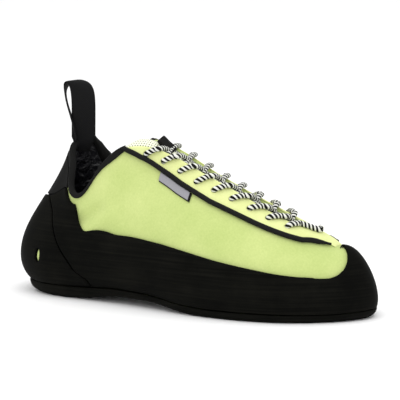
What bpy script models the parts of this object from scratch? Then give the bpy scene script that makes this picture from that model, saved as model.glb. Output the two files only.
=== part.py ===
"""Lace-up climbing shoe for the right foot, built from one surface of the last.

Frame: metres, +X to the toe, +Y to the inner (medial) side, +Z up. The origin is on the floor, below the middle of the
shoe. The last's surface is a ring of columns. A column starts at the feather edge, where the upper meets the sole, and
runs up to the collar, the throat's edge or, in front of the throat, the crest. Every piece of the upper is cut from it.
"""

import math

import bmesh
import bpy
import numpy as np
from mathutils import Vector

# Driving sizes of the shoe
LENGTH = 0.250
BALL_WIDTH = 0.080
COLLAR_HEIGHT = 0.102
SOLE_THICKNESS = 0.005
ARCH_RISE = 0.005
GAP = 0.0003

# Walls and thicknesses
UPPER_WALL = 0.0018
RUBBER_WALL = 0.0018
RUBBER_GAP = 0.0006
EYESTAY_WALL = 0.0010
HEEL_COLLAR_WALL = 0.0010
BINDING_WALL = 0.0009
BINDING_DEPTH = 0.0045
BINDING_CORNER = 0.0004
TONGUE_WALL = 0.0020
INSOLE_WALL = 0.0025
PIPING_RADIUS = 0.0014
LACE_RADIUS = 0.0019
LACE_ARCH = 0.0015
LACE_SLANT = 0.62
EYELET_RADIUS = 0.0021

# Pieces that are placed along the throat and the collar. Rows of EYELET_EDGES: share of the way along the eyelets,
# distance from the throat's edge
EYELET_ROWS = 9
EYELET_EDGES = ((0.0, 0.0050), (0.35, 0.0086), (1.0, 0.0064))
FIRST_EYELET_X = 0.408 * LENGTH
LAST_EYELET_X = 0.804 * LENGTH
PEAK_X = 0.352 * LENGTH
THROAT_END_X = 0.844 * LENGTH
EYESTAY_TIP_X = 0.916 * LENGTH

# Tongue: how far it runs on at both ends, how deep it tucks under the throat's edges, and where it clears the binding
TONGUE_OVER = 0.004
TONGUE_TUCK = 0.011
TONGUE_ARCH = 1.5
BINDING_FADE = (0.003, 0.012)

# Folded tab on the tongue. Its fold is a table of rows: share of the spread, share of the height
TAB_X = 0.410 * LENGTH
TAB_Y = 0.0085
TAB_LENGTH = 0.0075
TAB_HEIGHT = 0.0080
TAB_LEAN = 0.0070
TAB_SPREAD = 0.0011
TAB_WALL = 0.0008
TAB_FOLD = ((-1.0, 0.0), (-1.0, 0.75), (-0.6, 0.94), (0.0, 1.0), (0.6, 0.94), (1.0, 0.75), (1.0, 0.0))

# Pull loop
LOOP_WIDTH = 0.017
LOOP_HEIGHT = 0.038
LOOP_SPREAD = 0.0145
LOOP_WALL = 0.0014
LOOP_STEPS = 27
LOOP_SOFTENING = 6
# Path of the loop from the foot of its back leg: share of the spread, share of the height, turn in degrees from +Y
LOOP_PATH = (
    (0.00, 0.00, 24.0),
    (-0.16, 0.28, 26.0),
    (-0.42, 0.58, 26.0),
    (-0.48, 0.84, 20.0),
    (-0.22, 1.00, 0.0),
    (0.22, 1.02, -20.0),
    (0.54, 0.90, -46.0),
    (0.60, 0.64, -60.0),
    (0.60, 0.32, -60.0),
    (0.60, 0.00, -60.0),
)

# Front end of the heel collar, as a share of the length
HEEL_COLLAR_END = 0.150

# Heel cup windows. Their places are rows: share of the way round the ring, share of the rubber's height
WINDOW_LENGTH = 0.0085
WINDOW_WIDTH = 0.0030
WINDOW_PLACES = ((0.1425, 0.28), (-0.1425, 0.28), (0.050, 0.63), (-0.050, 0.63))

# Plan of the last, a row for each station from the back of the heel to the tip of the toe. Shares of LENGTH: x, axis.
# Shares of BALL_WIDTH: lateral, medial (widest half widths), axis_y. lift is a share of ARCH_RISE and sole a share of
# SOLE_THICKNESS. foot_l and foot_m are the feather edge's share of the widest distance.
PLAN_NAMES = "x lateral medial axis axis_y lift sole foot_l foot_m".split()
PLAN = (
    (0.010, 0.000, 0.000, 0.240, 0.000, 0.0, 1.60, 0.72, 0.72),
    (0.032, 0.225, 0.225, 0.240, 0.000, 0.0, 1.60, 0.78, 0.78),
    (0.100, 0.350, 0.350, 0.240, 0.000, 0.0, 1.60, 0.84, 0.82),
    (0.240, 0.388, 0.375, 0.240, 0.000, 0.2, 1.50, 0.80, 0.74),
    (0.292, 0.400, 0.375, 0.292, 0.000, 0.6, 1.26, 0.78, 0.70),
    (0.352, 0.413, 0.375, 0.352, 0.000, 1.0, 1.00, 0.78, 0.68),
    (0.396, 0.428, 0.378, 0.396, 0.000, 1.0, 0.95, 0.79, 0.69),
    (0.460, 0.450, 0.388, 0.460, 0.000, 0.9, 0.90, 0.82, 0.72),
    (0.560, 0.500, 0.438, 0.560, 0.000, 0.2, 1.00, 0.88, 0.80),
    (0.660, 0.513, 0.488, 0.660, 0.000, 0.0, 1.00, 0.90, 0.88),
    (0.760, 0.481, 0.513, 0.760, 0.012, 0.0, 1.00, 0.91, 0.90),
    (0.824, 0.425, 0.494, 0.824, 0.025, 0.0, 1.00, 0.92, 0.91),
    (0.864, 0.369, 0.475, 0.864, 0.038, 0.0, 1.00, 0.92, 0.92),
    (0.916, 0.263, 0.425, 0.916, 0.063, 0.0, 1.00, 0.93, 0.93),
    (0.974, 0.100, 0.325, 0.928, 0.075, 0.1, 1.00, 0.93, 0.93),
    (1.010, -0.113, 0.113, 0.928, 0.075, 0.2, 1.00, 0.93, 0.93),
)

# Section at each of the same stations. Shares of COLLAR_HEIGHT: wide_l, wide_m (height of the widest point), top_l,
# top_m (height of the rim). Shares of BALL_WIDTH: rim_l, rim_m (collar or throat edge from the axis). rise, reach and
# drop shape the curve from the widest point to the rim.
SECTION_NAMES = "wide_l wide_m rim_l rim_m top_l top_m rise reach drop".split()
SECTIONS = (
    (0.245, 0.245, 0.256, 0.256, 0.99, 0.99, 0.33, 0.35, 0.45),
    (0.235, 0.235, 0.269, 0.275, 0.96, 1.000, 0.32, 0.30, 0.48),
    (0.216, 0.216, 0.263, 0.285, 0.87, 1.025, 0.32, 0.30, 0.48),
    (0.196, 0.216, 0.313, 0.300, 0.69, 0.80, 0.40, 0.50, 0.45),
    (0.196, 0.225, 0.300, 0.300, 0.88, 0.88, 0.40, 0.60, 0.45),
    (0.196, 0.235, 0.250, 0.250, 1.00, 1.01, 0.42, 0.60, 0.40),
    (0.192, 0.231, 0.175, 0.175, 1.010, 1.005, 0.43, 0.61, 0.36),
    (0.186, 0.225, 0.138, 0.138, 0.970, 0.955, 0.45, 0.62, 0.30),
    (0.167, 0.196, 0.119, 0.125, 0.855, 0.83, 0.48, 0.62, 0.22),
    (0.147, 0.167, 0.109, 0.119, 0.745, 0.72, 0.50, 0.62, 0.18),
    (0.127, 0.147, 0.094, 0.106, 0.62, 0.615, 0.52, 0.60, 0.10),
    (0.118, 0.137, 0.063, 0.063, 0.55, 0.55, 0.54, 0.58, 0.04),
    (0.118, 0.127, 0.000, 0.000, 0.51, 0.51, 0.55, 0.56, 0.00),
    (0.108, 0.118, 0.000, 0.000, 0.44, 0.44, 0.52, 0.54, 0.00),
    (0.108, 0.108, 0.000, 0.000, 0.43, 0.43, 0.42, 0.50, 0.00),
    (0.108, 0.108, 0.000, 0.000, 0.43, 0.43, 0.36, 0.46, 0.00),
)

# Top edge of the rubber, from the back of the heel to the toe: share of LENGTH, share of COLLAR_HEIGHT
RUBBER_EDGE = (
    (0.010, 0.61),
    (0.060, 0.64),
    (0.160, 0.70),
    (0.215, 0.66),
    (0.236, 0.62),
    (0.252, 0.48),
    (0.270, 0.445),
    (0.352, 0.450),
    (0.460, 0.437),
    (0.560, 0.405),
    (0.660, 0.360),
    (0.760, 0.322),
    (0.824, 0.296),
    (0.864, 0.282),
    (0.904, 0.275),
)
TOE_CAP_FROM = 0.908
TOE_CAP_TO = 0.984

# Seam between the heel cup and the sling band: share of the rubber's height, share of the way round the half shoe
HEEL_SEAM = ((0.0, 0.290), (0.16, 0.280), (0.30, 0.245), (0.62, 0.180), (0.81, 0.143), (1.0, 0.090))

# Piping line: share of LENGTH, share of the way from the feather edge to the rim
PIPING_LINE = (
    (0.366, 0.965),
    (0.393, 0.935),
    (0.460, 0.875),
    (0.515, 0.835),
    (0.607, 0.795),
    (0.712, 0.785),
    (0.799, 0.775),
    (0.849, 0.768),
    (0.880, 0.830),
    (0.905, 0.900),
)

# Cloth label under the lateral piping: where it starts and ends, as shares of LENGTH, and its height
LABEL_FROM = 0.452
LABEL_TO = 0.541
LABEL_HEIGHT = 0.0050
LABEL_WALL = 0.0006
LABEL_COLUMNS = 9

# Middle of the finished shoe's length, as a share of LENGTH
BOX_CENTRE = 0.5094

# Columns of the large pieces on one half of the ring. Rows: where a span starts and ends, how many columns it has
HALF_SPANS = (
    (0.0, 0.223, 5),
    (0.223, 0.238, 1),
    (0.238, 0.288, 4),
    (0.288, 0.46, 8),
    (0.46, 0.80, 12),
    (0.80, 1.0, 12),
)
RAND_SPANS = ((0.0, 0.13, 3), (0.13, 0.23, 5), (0.23, 0.80, 11), (0.80, 1.0, 12))
CUP_COLUMNS = 15
HEEL_COLLAR_COLUMNS = 19
EYESTAY_COLUMNS = 27
TONGUE_COLUMNS = 18
TONGUE_ROWS = 9
CUT_DEPTH = 0.010
SAMPLES = 800
SMOOTHING = 5.0
UNDER_SHARE = 0.16
RUBBER_TURN = 0.3
UNDER_ROWS = 3
UPPER_ROWS = 6
PARTS = "climbing_shoe"
CUTTERS = "climbing_shoe_cutters"


def clear_scene():
    """Removes what the file opened with."""
    for found in list(bpy.data.objects):
        bpy.data.objects.remove(found, do_unlink=True)
    for name in (PARTS, CUTTERS):
        collection = bpy.data.collections.new(name)
        bpy.context.scene.collection.children.link(collection)
    bpy.data.collections[CUTTERS].hide_render = True


def spline(knots, values, where):
    """Smooth curve through the values, closed on itself every 2 along the ring."""
    x = np.concatenate([knots[-3:] - 2.0, knots, knots[:3] + 2.0])
    y = np.concatenate([values[-3:], values, values[:3]])
    width = np.diff(x)
    slope = np.diff(y) / width
    tangent = np.zeros_like(y)
    tangent[1:-1] = (slope[:-1] * width[1:] + slope[1:] * width[:-1]) / (width[:-1] + width[1:])
    k = np.searchsorted(x, where, side="right") - 1
    u = (where - x[k]) / width[k]
    start = (1 + 2 * u) * (1 - u) ** 2 * y[k] + u * (1 - u) ** 2 * width[k] * tangent[k]
    end = u * u * (3 - 2 * u) * y[k + 1] + u * u * (u - 1) * width[k] * tangent[k + 1]
    return start + end


def smoothed(values):
    """Soft average along the ring, which takes the corners out of the tables."""
    reach = np.arange(-20, 21)
    weight = np.exp(-0.5 * (reach / SMOOTHING) ** 2)
    weight /= weight.sum()
    return sum(w * np.roll(values, j) for w, j in zip(weight, reach))


def ring_values():
    """The station tables as smooth rings: 0 is the heel's back, 1 the toe's tip, 2 the heel's back again."""
    table = {name: np.array(column) for name, column in zip(PLAN_NAMES, zip(*PLAN))}
    table.update({name: np.array(column) for name, column in zip(SECTION_NAMES, zip(*SECTIONS))})

    def both(lateral, medial):
        return np.concatenate([lateral, medial[-2:0:-1]])

    x = table["x"] * LENGTH
    lateral = -table["lateral"] * BALL_WIDTH
    along = np.concatenate([[0.0], np.cumsum(np.hypot(np.diff(x), np.diff(lateral)))])
    along /= along[-1]
    knots = np.concatenate([along, 2.0 - along[-2:0:-1]])
    lift = table["lift"] * ARCH_RISE
    rings = {
        "x": both(x, x),
        "y": both(lateral, table["medial"] * BALL_WIDTH),
        "axis_x": both(table["axis"] * LENGTH, table["axis"] * LENGTH),
        "axis_y": both(table["axis_y"] * BALL_WIDTH, table["axis_y"] * BALL_WIDTH),
        "lift": both(lift, lift),
        "sole": both(table["sole"] * SOLE_THICKNESS, table["sole"] * SOLE_THICKNESS),
        "foot": both(table["foot_l"], table["foot_m"]),
        "wide": both(table["wide_l"], table["wide_m"]) * COLLAR_HEIGHT,
        "rim": both(table["rim_l"], table["rim_m"]) * BALL_WIDTH,
        "top": both(table["top_l"], table["top_m"]) * COLLAR_HEIGHT,
        "rise": both(table["rise"], table["rise"]),
        "reach": both(table["reach"], table["reach"]),
        "drop": both(table["drop"], table["drop"]),
    }
    where = np.arange(SAMPLES) * 2.0 / SAMPLES
    return {name: smoothed(spline(knots, values, where)) for name, values in rings.items()}


RINGS = ring_values()
FLAT_BELOW = 0.0001
RINGS["lift"] = np.maximum(RINGS["lift"] - FLAT_BELOW, 0.0)
CLOSED_RIM = 0.0004


def ring(name, a):
    """A ring's value at a."""
    values = RINGS[name]
    place = np.mod(a, 2.0) * SAMPLES / 2.0
    low = np.floor(place).astype(int)
    share = place - low
    return values[low % SAMPLES] * (1 - share) + values[(low + 1) % SAMPLES] * share


def rim_distance(a):
    """Distance of the rim from the axis: zero in front of the throat, where the two sides meet."""
    return np.maximum(ring("rim", a) - CLOSED_RIM, 0.0)


def bare_surface(a, t):
    """Point of the last at a round the ring and t up its column, without any offset."""
    a, t = np.broadcast_arrays(np.asarray(a, float), np.asarray(t, float))
    axis_x = ring("axis_x", a)
    axis_y = ring("axis_y", a)
    out_x = ring("x", a) - axis_x
    out_y = ring("y", a) - axis_y
    far = np.hypot(out_x, out_y)
    wide = ring("wide", a)
    bottom = ring("lift", a) + ring("sole", a) + GAP
    foot = ring("foot", a)
    turn = np.clip(t / UNDER_SHARE, 0.0, 1.0) * math.pi / 2
    low_r = far * (foot + (1 - foot) * np.sin(turn))
    low_z = bottom + (wide - bottom) * (1 - np.cos(turn))
    u = np.clip((t - UNDER_SHARE) / (1 - UNDER_SHARE), 0.0, 1.0)
    rim = rim_distance(a)
    top = ring("top", a)
    height = top - wide
    b0, b1, b2, b3 = (1 - u) ** 3, 3 * u * (1 - u) ** 2, 3 * u * u * (1 - u), u**3
    high_r = (b0 + b1) * far + b2 * (rim + ring("reach", a) * (far - rim)) + b3 * rim
    high_z = b0 * wide + b1 * (wide + ring("rise", a) * height) + b2 * (top - ring("drop", a) * height) + b3 * top
    r = np.where(t < UNDER_SHARE, low_r, high_r)
    z = np.where(t < UNDER_SHARE, low_z, high_z)
    return np.stack([axis_x + out_x / far * r - BOX_CENTRE * LENGTH, axis_y + out_y / far * r, z], -1)


def normals(a, t):
    """Outward unit normals of the last."""
    a, t = np.broadcast_arrays(np.asarray(a, float), np.asarray(t, float))
    inner = np.clip(t, 0.0, 0.995)
    round_ring = bare_surface(a + 0.002, inner) - bare_surface(a - 0.002, inner)
    up = bare_surface(a, np.minimum(inner + 0.004, 1.0)) - bare_surface(a, np.maximum(inner - 0.004, 0.0))
    cross = np.cross(round_ring, up)
    return cross / np.linalg.norm(cross, axis=-1, keepdims=True)


def surface(a, t, offset=0.0):
    """Point of the last, moved outward by offset."""
    return bare_surface(a, t) + normals(a, t) * np.asarray(offset)[..., None]


def side(a, medial):
    """The same place on the lateral or the medial half of the ring."""
    return 2.0 - a if medial else a


def place_of(x_share):
    """Where on the lateral half a station at this share of the length lies."""
    along = np.linspace(0.0, 1.0, SAMPLES // 2)
    return np.interp(np.asarray(x_share) * LENGTH, ring("x", along), along)


def share_at_height(a, z):
    """Column shares whose points lie at the heights z."""
    t = np.linspace(UNDER_SHARE, 1.0, 120)
    return np.array([np.interp(h, bare_surface(p, t)[:, 2], t) for p, h in zip(np.atleast_1d(a), np.atleast_1d(z))])


def rubber_table():
    """Top edge of the rubber as column shares along the half ring."""
    x, z = np.array(RUBBER_EDGE).T
    a = place_of(x)
    return a, share_at_height(a, z * COLLAR_HEIGHT)


def share_below_rim(a, distance):
    """Column share at a distance below the rim, measured on the surface."""
    t = np.linspace(0.5, 1.0, 80)
    found = []
    for place, reach in np.broadcast(np.atleast_1d(a), distance):
        points = bare_surface(place, t)
        step = np.linalg.norm(np.diff(points, axis=0), axis=1)
        left = np.concatenate([np.cumsum(step[::-1])[::-1], [0.0]])
        found.append(np.interp(reach, left[::-1], t[::-1]))
    return np.array(found)


def share_moved(a, t, distance):
    """Column share after a short move up the surface from t."""
    step = 0.004
    speed = np.linalg.norm(bare_surface(a, t + step) - bare_surface(a, t - step), axis=-1) / (2 * step)
    return t + distance / speed


def rubber_foot_table():
    """Lowest column share at which the rubber's outer face still clears the sole's top, round the ring."""
    a = np.arange(SAMPLES) * 2.0 / SAMPLES
    t = np.linspace(0.0, UNDER_SHARE, 33)
    height = surface(a[None, :], t[:, None], RUBBER_GAP + RUBBER_WALL)[..., 2]
    floor = ring("lift", a) + ring("sole", a) + GAP
    first = np.argmax(height >= floor[None, :], axis=0)
    return t[first]


RUBBER_A, RUBBER_T = rubber_table()
RINGS["rubber_foot"] = smoothed(rubber_foot_table()) + UNDER_SHARE / 32
COLLAR_A = np.linspace(0.0, float(place_of(PEAK_X / LENGTH)), 40)
COLLAR_T = share_below_rim(COLLAR_A, BINDING_DEPTH + 3 * GAP)
COLLAR_A = np.append(COLLAR_A, COLLAR_A[-1] + 0.01)
COLLAR_T = np.append(COLLAR_T, 1.0)


def rubber_top(a):
    """Column share of the rubber's top edge: along the side, then over the crest as the toe cap."""
    half = np.minimum(np.mod(a, 2.0), 2.0 - np.mod(a, 2.0))
    low = np.interp(half, RUBBER_A, RUBBER_T)
    low = np.minimum(low, np.interp(half, COLLAR_A, COLLAR_T))
    start, end = place_of(TOE_CAP_FROM), place_of(TOE_CAP_TO)
    rise = np.clip((half - start) / (end - start), 0.0, 1.0)
    return low + (1.0 - low) * rise * rise * (3 - 2 * rise)


def heel_seam(v):
    """How far round the half ring the heel cup reaches at a share v of the rubber's height."""
    height, reach = np.array(HEEL_SEAM).T
    return np.interp(v, height, reach)


def half_columns(spans=HALF_SPANS):
    """Places of a piece's columns on one half of the ring."""
    places = [np.linspace(start, end, count, endpoint=False) for start, end, count in spans]
    return np.concatenate(places + [[1.0]])


def full_columns():
    """Places of the columns round the whole ring."""
    half = half_columns()
    return np.concatenate([half, 2.0 - half[-2:0:-1]])


def rows_between(turn):
    """Shares of the rows, close together below turn, where the surface rounds under the foot."""
    return np.concatenate([np.linspace(0.0, turn, UNDER_ROWS + 1), np.linspace(turn, 1.0, UPPER_ROWS + 1)[1:]])


def material(name, color, roughness):
    """A plain Principled material."""
    made = bpy.data.materials.new(name)
    made.use_nodes = True
    shader = made.node_tree.nodes["Principled BSDF"]
    shader.inputs["Base Color"].default_value = (*color, 1.0)
    shader.inputs["Roughness"].default_value = roughness
    made.diffuse_color = (*color, 1.0)
    return made


def add_object(name, mesh, finish):
    """Links a mesh as a named part."""
    part = bpy.data.objects.new(name, mesh)
    part.data.materials.append(finish)
    bpy.data.collections[PARTS].objects.link(part)
    return part


def grid_mesh(name, points, closed=False, weld=0.00005):
    """A mesh of quads from a grid of points, rows by columns. closed joins the last column to the first."""
    rows, columns = points.shape[:2]
    index = np.arange(rows * columns).reshape(rows, columns)
    right = np.roll(index, -1, axis=1)
    last = columns if closed else columns - 1
    quads = np.stack([index[:-1], right[:-1], right[1:], index[1:]], -1)[:, :last].reshape(-1, 4)
    made = bpy.data.meshes.new(name)
    made.from_pydata(points.reshape(-1, 3).tolist(), [], quads.tolist())
    weld_mesh(made, weld)
    return made


def weld_mesh(made, distance):
    """Merges points that coincide and cuts the faces into triangles."""
    work = bmesh.new()
    work.from_mesh(made)
    bmesh.ops.remove_doubles(work, verts=work.verts, dist=distance)
    bmesh.ops.dissolve_degenerate(work, edges=work.edges, dist=distance)
    bmesh.ops.triangulate(work, faces=work.faces, quad_method="SHORT_EDGE")
    work.to_mesh(made)
    work.free()
    made.shade_smooth()


def solidify(part, thickness):
    """Gives an open surface its wall, on the inner side."""
    wall = part.modifiers.new("wall", "SOLIDIFY")
    wall.thickness = thickness
    wall.offset = -1.0
    wall.use_even_offset = True
    wall.use_quality_normals = True
    return wall


def shell(name, points, wall, finish, closed=False):
    """A wall below the given outer surface."""
    part = add_object(name, grid_mesh(name, points, closed), finish)
    solidify(part, wall)
    return part


def lofted_shell(name, outer, inner, finish):
    """A wall between two grids of the last's surface, which keeps its thickness where the surface turns tightly."""
    points = np.concatenate([outer, inner[::-1], outer[:1]])
    rows, columns = points.shape[:2]
    index = np.arange(rows * columns).reshape(rows, columns)
    index[-1] = index[0]
    sides = np.stack([index[:-1, :-1], index[:-1, 1:], index[1:, 1:], index[1:, :-1]], -1).reshape(-1, 4)
    half = len(outer)
    facing = index[: 2 * half][::-1]
    ends = []
    for column, flip in ((0, False), (columns - 1, True)):
        cap = np.stack(
            [
                index[: half - 1, column],
                index[1:half, column],
                facing[1:half, column],
                facing[: half - 1, column],
            ],
            -1,
        )
        ends.append(cap[:, ::-1] if flip else cap)
    made = bpy.data.meshes.new(name)
    made.from_pydata(points.reshape(-1, 3).tolist(), [], np.concatenate([sides, *ends]).tolist())
    work = bmesh.new()
    work.from_mesh(made)
    loose = [v for v in work.verts if not v.link_faces]
    bmesh.ops.delete(work, geom=loose, context="VERTS")
    work.to_mesh(made)
    work.free()
    weld_mesh(made, 0.00005)
    return add_object(name, made, finish)


def tube(name, points, radius, finish, sides=2):
    """A round tube along the points, as a closed mesh."""
    curve = bpy.data.curves.new(name, "CURVE")
    curve.dimensions = "3D"
    curve.bevel_depth = radius
    curve.bevel_resolution = sides
    curve.use_fill_caps = True
    line = curve.splines.new("POLY")
    line.points.add(len(points) - 1)
    for point, place in zip(line.points, points):
        point.co = (*place, 1.0)
    part = bpy.data.objects.new(name, curve)
    curve.materials.append(finish)
    bpy.data.collections[PARTS].objects.link(part)
    return part


def as_mesh(part):
    """Replaces a curve object with a welded mesh object of the same name."""
    name = part.name
    bpy.context.view_layer.update()
    evaluated = part.evaluated_get(bpy.context.evaluated_depsgraph_get())
    made = bpy.data.meshes.new_from_object(evaluated)
    weld_mesh(made, 0.00002)
    whole = bpy.data.objects.new(name + "_mesh", made)
    whole.matrix_world = part.matrix_world
    bpy.data.collections[PARTS].objects.link(whole)
    bpy.data.objects.remove(part, do_unlink=True)
    whole.name = name
    return whole


def cut(part, cutter):
    """Takes the cutter out of the part and keeps the cutter hidden."""
    move_to_cutters(cutter)
    taken = part.modifiers.new("cut", "BOOLEAN")
    taken.operation = "DIFFERENCE"
    taken.solver = "EXACT"
    taken.object = cutter


def move_to_cutters(cutter):
    """Files an object with the cutters."""
    for collection in list(cutter.users_collection):
        collection.objects.unlink(cutter)
    bpy.data.collections[CUTTERS].objects.link(cutter)
    cutter.hide_render = True
    cutter.display_type = "WIRE"


def eyelet_places():
    """Places of the eyelets on the lateral half, and their column shares there."""
    x = np.linspace(FIRST_EYELET_X, LAST_EYELET_X, EYELET_ROWS)
    return place_of(x / LENGTH)


def eyelet_share(a):
    """Column share of the row of eyelets at a, on either side."""
    places = eyelet_places()
    along, distance = np.array(EYELET_EDGES).T
    way = (np.minimum(a, 2.0 - a) - places[0]) / (places[-1] - places[0])
    return share_below_rim(a, np.interp(way, along, distance))


def eyelet_cutters(finish, medial):
    """One object of pegs, a peg through each eyelet of one side."""
    work = bmesh.new()
    places = side(eyelet_places(), medial)
    for a, t in zip(places, eyelet_share(places)):
        centre = Vector(surface(a, t, 0.0))
        turn = Vector(normals(a, t)).to_track_quat("Z", "Y").to_matrix().to_4x4()
        turn.translation = centre
        bmesh.ops.create_cone(
            work, cap_ends=True, segments=6, radius1=EYELET_RADIUS, radius2=EYELET_RADIUS, depth=CUT_DEPTH, matrix=turn
        )
    made = bpy.data.meshes.new("eyelet_pegs")
    work.to_mesh(made)
    work.free()
    return add_object("eyelet_pegs_medial" if medial else "eyelet_pegs_lateral", made, finish)


def build_upper(finish):
    """The hollow upper, open at the collar, the throat and underneath."""
    a = full_columns()
    points = surface(a[None, :], rows_between(UNDER_SHARE)[:, None])
    return shell("upper", points, UPPER_WALL, finish, closed=True)


def rubber_faces(a, v):
    """Outer and inner face of the rubber in columns at a, from the sole's edge round the turn to its top edge."""
    low = ring("rubber_foot", a)
    v = v[:, None]
    under = low + (UNDER_SHARE - low) * v / RUBBER_TURN
    over = UNDER_SHARE + (rubber_top(a) - UNDER_SHARE) * (v - RUBBER_TURN) / (1 - RUBBER_TURN)
    t = np.where(v < RUBBER_TURN, under, over)
    return surface(a, t, RUBBER_GAP + RUBBER_WALL), surface(a, t, RUBBER_GAP)


def build_rand(finish):
    """The rubber band round the foot with the toe cap and, behind the ankle, the sling band."""
    v = rows_between(RUBBER_TURN)
    start = heel_seam(v) + GAP * 2 / LENGTH
    half = half_columns(RAND_SPANS)[:, None]
    lateral = start[None, :] + (1 - start[None, :]) * half
    a = np.concatenate([lateral, 2.0 - lateral[-2::-1]], 0).T
    return lofted_shell("rand", *rubber_faces(a, v), finish)


def build_heel_cup(finish):
    """The rubber cup behind the heel seam, with two oval windows on each side."""
    v = rows_between(RUBBER_TURN)
    reach = heel_seam(v) - GAP * 3 / LENGTH
    across = np.linspace(-1.0, 1.0, CUP_COLUMNS)
    a = reach[:, None] * across[None, :]
    cup = lofted_shell("heel_cup", *rubber_faces(a, v), finish)
    work = bmesh.new()
    for around, height in WINDOW_PLACES:
        share = height * rubber_top(np.array(around))
        turn = Vector(normals(around, share)).to_track_quat("Z", "Y").to_matrix().to_4x4()
        turn.translation = Vector(surface(around, share, RUBBER_WALL))
        turn.col[0] *= WINDOW_WIDTH
        turn.col[1] *= WINDOW_LENGTH
        bmesh.ops.create_cone(work, cap_ends=True, segments=12, radius1=0.5, radius2=0.5, depth=CUT_DEPTH, matrix=turn)
    made = bpy.data.meshes.new("heel_windows")
    work.to_mesh(made)
    work.free()
    cut(cup, add_object("heel_windows", made, finish))
    return cup


def build_heel_collar(finish):
    """The black panel above the rubber at the back of the collar."""
    reach = float(place_of(HEEL_COLLAR_END))
    across = np.linspace(-1.0, 1.0, HEEL_COLLAR_COLUMNS)
    a = (across * reach)[None, :]
    low = share_moved(a, rubber_top(a), GAP * 3)
    high = share_below_rim(a[0], BINDING_DEPTH + GAP * 4)[None, :]
    v = np.linspace(0.0, 1.0, 5)[:, None]
    t = low + (high - low) * v
    outer = surface(a, t, GAP * 2 + HEEL_COLLAR_WALL)
    return lofted_shell("heel_collar", outer, surface(a, t, GAP * 2), finish)


def piping_share(half):
    """Column share of the piping's line."""
    x, t = np.array(PIPING_LINE).T
    return np.interp(half, place_of(x), t)


def eyestay_foot(a, half):
    """Column share of the eyestay's outer edge, clear of the piping, with more room where the piping is steep."""
    share = piping_share(half)
    along = np.gradient(bare_surface(a, share), axis=0)
    up = bare_surface(a, share + 0.01) - bare_surface(a, share)
    cosine = np.sum(along * up, axis=1) / np.linalg.norm(along, axis=1) / np.linalg.norm(up, axis=1)
    return share_moved(a, share, (PIPING_RADIUS + GAP * 2) / np.sqrt(1 - cosine**2))


def build_eyestay(finish):
    """The U-shaped band between the piping and the throat's edge, joined in front of the throat."""
    start, tip = float(place_of(PIPING_LINE[0][0])), float(place_of(EYESTAY_TIP_X / LENGTH))
    half = np.linspace(start, tip, EYESTAY_COLUMNS)
    v = np.linspace(0.0, 1.0, 4)[:, None]
    work = []
    for medial in (False, True):
        low = np.minimum(eyestay_foot(side(half, medial), half), 0.985)
        t = low[None, :] + (1.0 - low[None, :]) * v
        points = surface(side(half, medial)[None, :], t, GAP + EYESTAY_WALL)
        work.append(points if not medial else points[:, ::-1])
    meshes = [grid_mesh("eyestay_half", points) for points in work]
    whole = bmesh.new()
    for made in meshes:
        whole.from_mesh(made)
        bpy.data.meshes.remove(made)
    bmesh.ops.remove_doubles(whole, verts=whole.verts, dist=0.00005)
    joined = bpy.data.meshes.new("eyestay")
    whole.to_mesh(joined)
    whole.free()
    joined.shade_smooth()
    band = add_object("eyestay", joined, finish)
    solidify(band, EYESTAY_WALL)
    return band


def build_piping(finish, medial):
    """Round piping along the outer edge of the eyestay."""
    start, end = float(place_of(PIPING_LINE[0][0])), float(place_of(PIPING_LINE[-1][0]))
    half = np.linspace(start, end, EYESTAY_COLUMNS)
    points = surface(side(half, medial), piping_share(half), GAP + PIPING_RADIUS)
    return tube("piping_medial" if medial else "piping_lateral", points, PIPING_RADIUS, finish, sides=1)


def build_label(finish):
    """The plain cloth label on the lateral side, just under the piping."""
    a = np.linspace(float(place_of(LABEL_FROM)), float(place_of(LABEL_TO)), LABEL_COLUMNS)[None, :]
    high = share_moved(a, piping_share(a), -(PIPING_RADIUS + GAP * 3))
    low = share_moved(a, high, -LABEL_HEIGHT)
    t = low + (high - low) * np.linspace(0.0, 1.0, 3)[:, None]
    return lofted_shell("side_label", surface(a, t, GAP + LABEL_WALL), surface(a, t, GAP), finish)


def build_binding(finish):
    """The binding folded over the collar's edge, from the lateral peak round the heel to the medial peak."""
    end = float(place_of(PEAK_X / LENGTH))
    half = half_columns()
    half = half[half <= end]
    a = np.concatenate([-half[:0:-1], half])
    low = share_below_rim(np.mod(a, 2.0), BINDING_DEPTH)
    middle = BINDING_WALL / 2
    outside = GAP * 1.5 + middle
    inside = -(UPPER_WALL + GAP * 3 + middle)
    top = surface(a, np.ones_like(a), 0.0)
    below = surface(a, np.full_like(a, 0.97), 0.0)
    up = top - below
    up /= np.linalg.norm(up, axis=1, keepdims=True)
    out = normals(a, np.ones_like(a))
    over = GAP * 3 + middle
    rows = [
        surface(a, low, outside),
        surface(a, (low + 1.0) / 2, outside),
        top + out * outside,
        top + out * (outside - BINDING_CORNER) + up * over,
        top + out * (inside + BINDING_CORNER) + up * over,
        top + out * inside,
        surface(a, (low + 1.0) / 2, inside),
        surface(a, low, inside),
    ]
    strip = add_object("collar_binding", grid_mesh("collar_binding", np.array(rows)), finish)
    wall = solidify(strip, BINDING_WALL)
    wall.offset = 0.0
    return strip


def plan_point(a, r):
    """Plan position at a distance r from the axis, toward the ring at a."""
    axis_x, axis_y = ring("axis_x", a), ring("axis_y", a)
    out_x, out_y = ring("x", a) - axis_x, ring("y", a) - axis_y
    far = np.hypot(out_x, out_y)
    return np.stack([axis_x + out_x / far * r - BOX_CENTRE * LENGTH, axis_y + out_y / far * r], -1)


def rubber_foot_distance(a):
    """Distance from the axis to the foot of the rubber's outer face."""
    foot = surface(a, ring("rubber_foot", a), RUBBER_GAP + RUBBER_WALL)
    return np.hypot(foot[..., 0] + BOX_CENTRE * LENGTH - ring("axis_x", a), foot[..., 1] - ring("axis_y", a))


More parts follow.
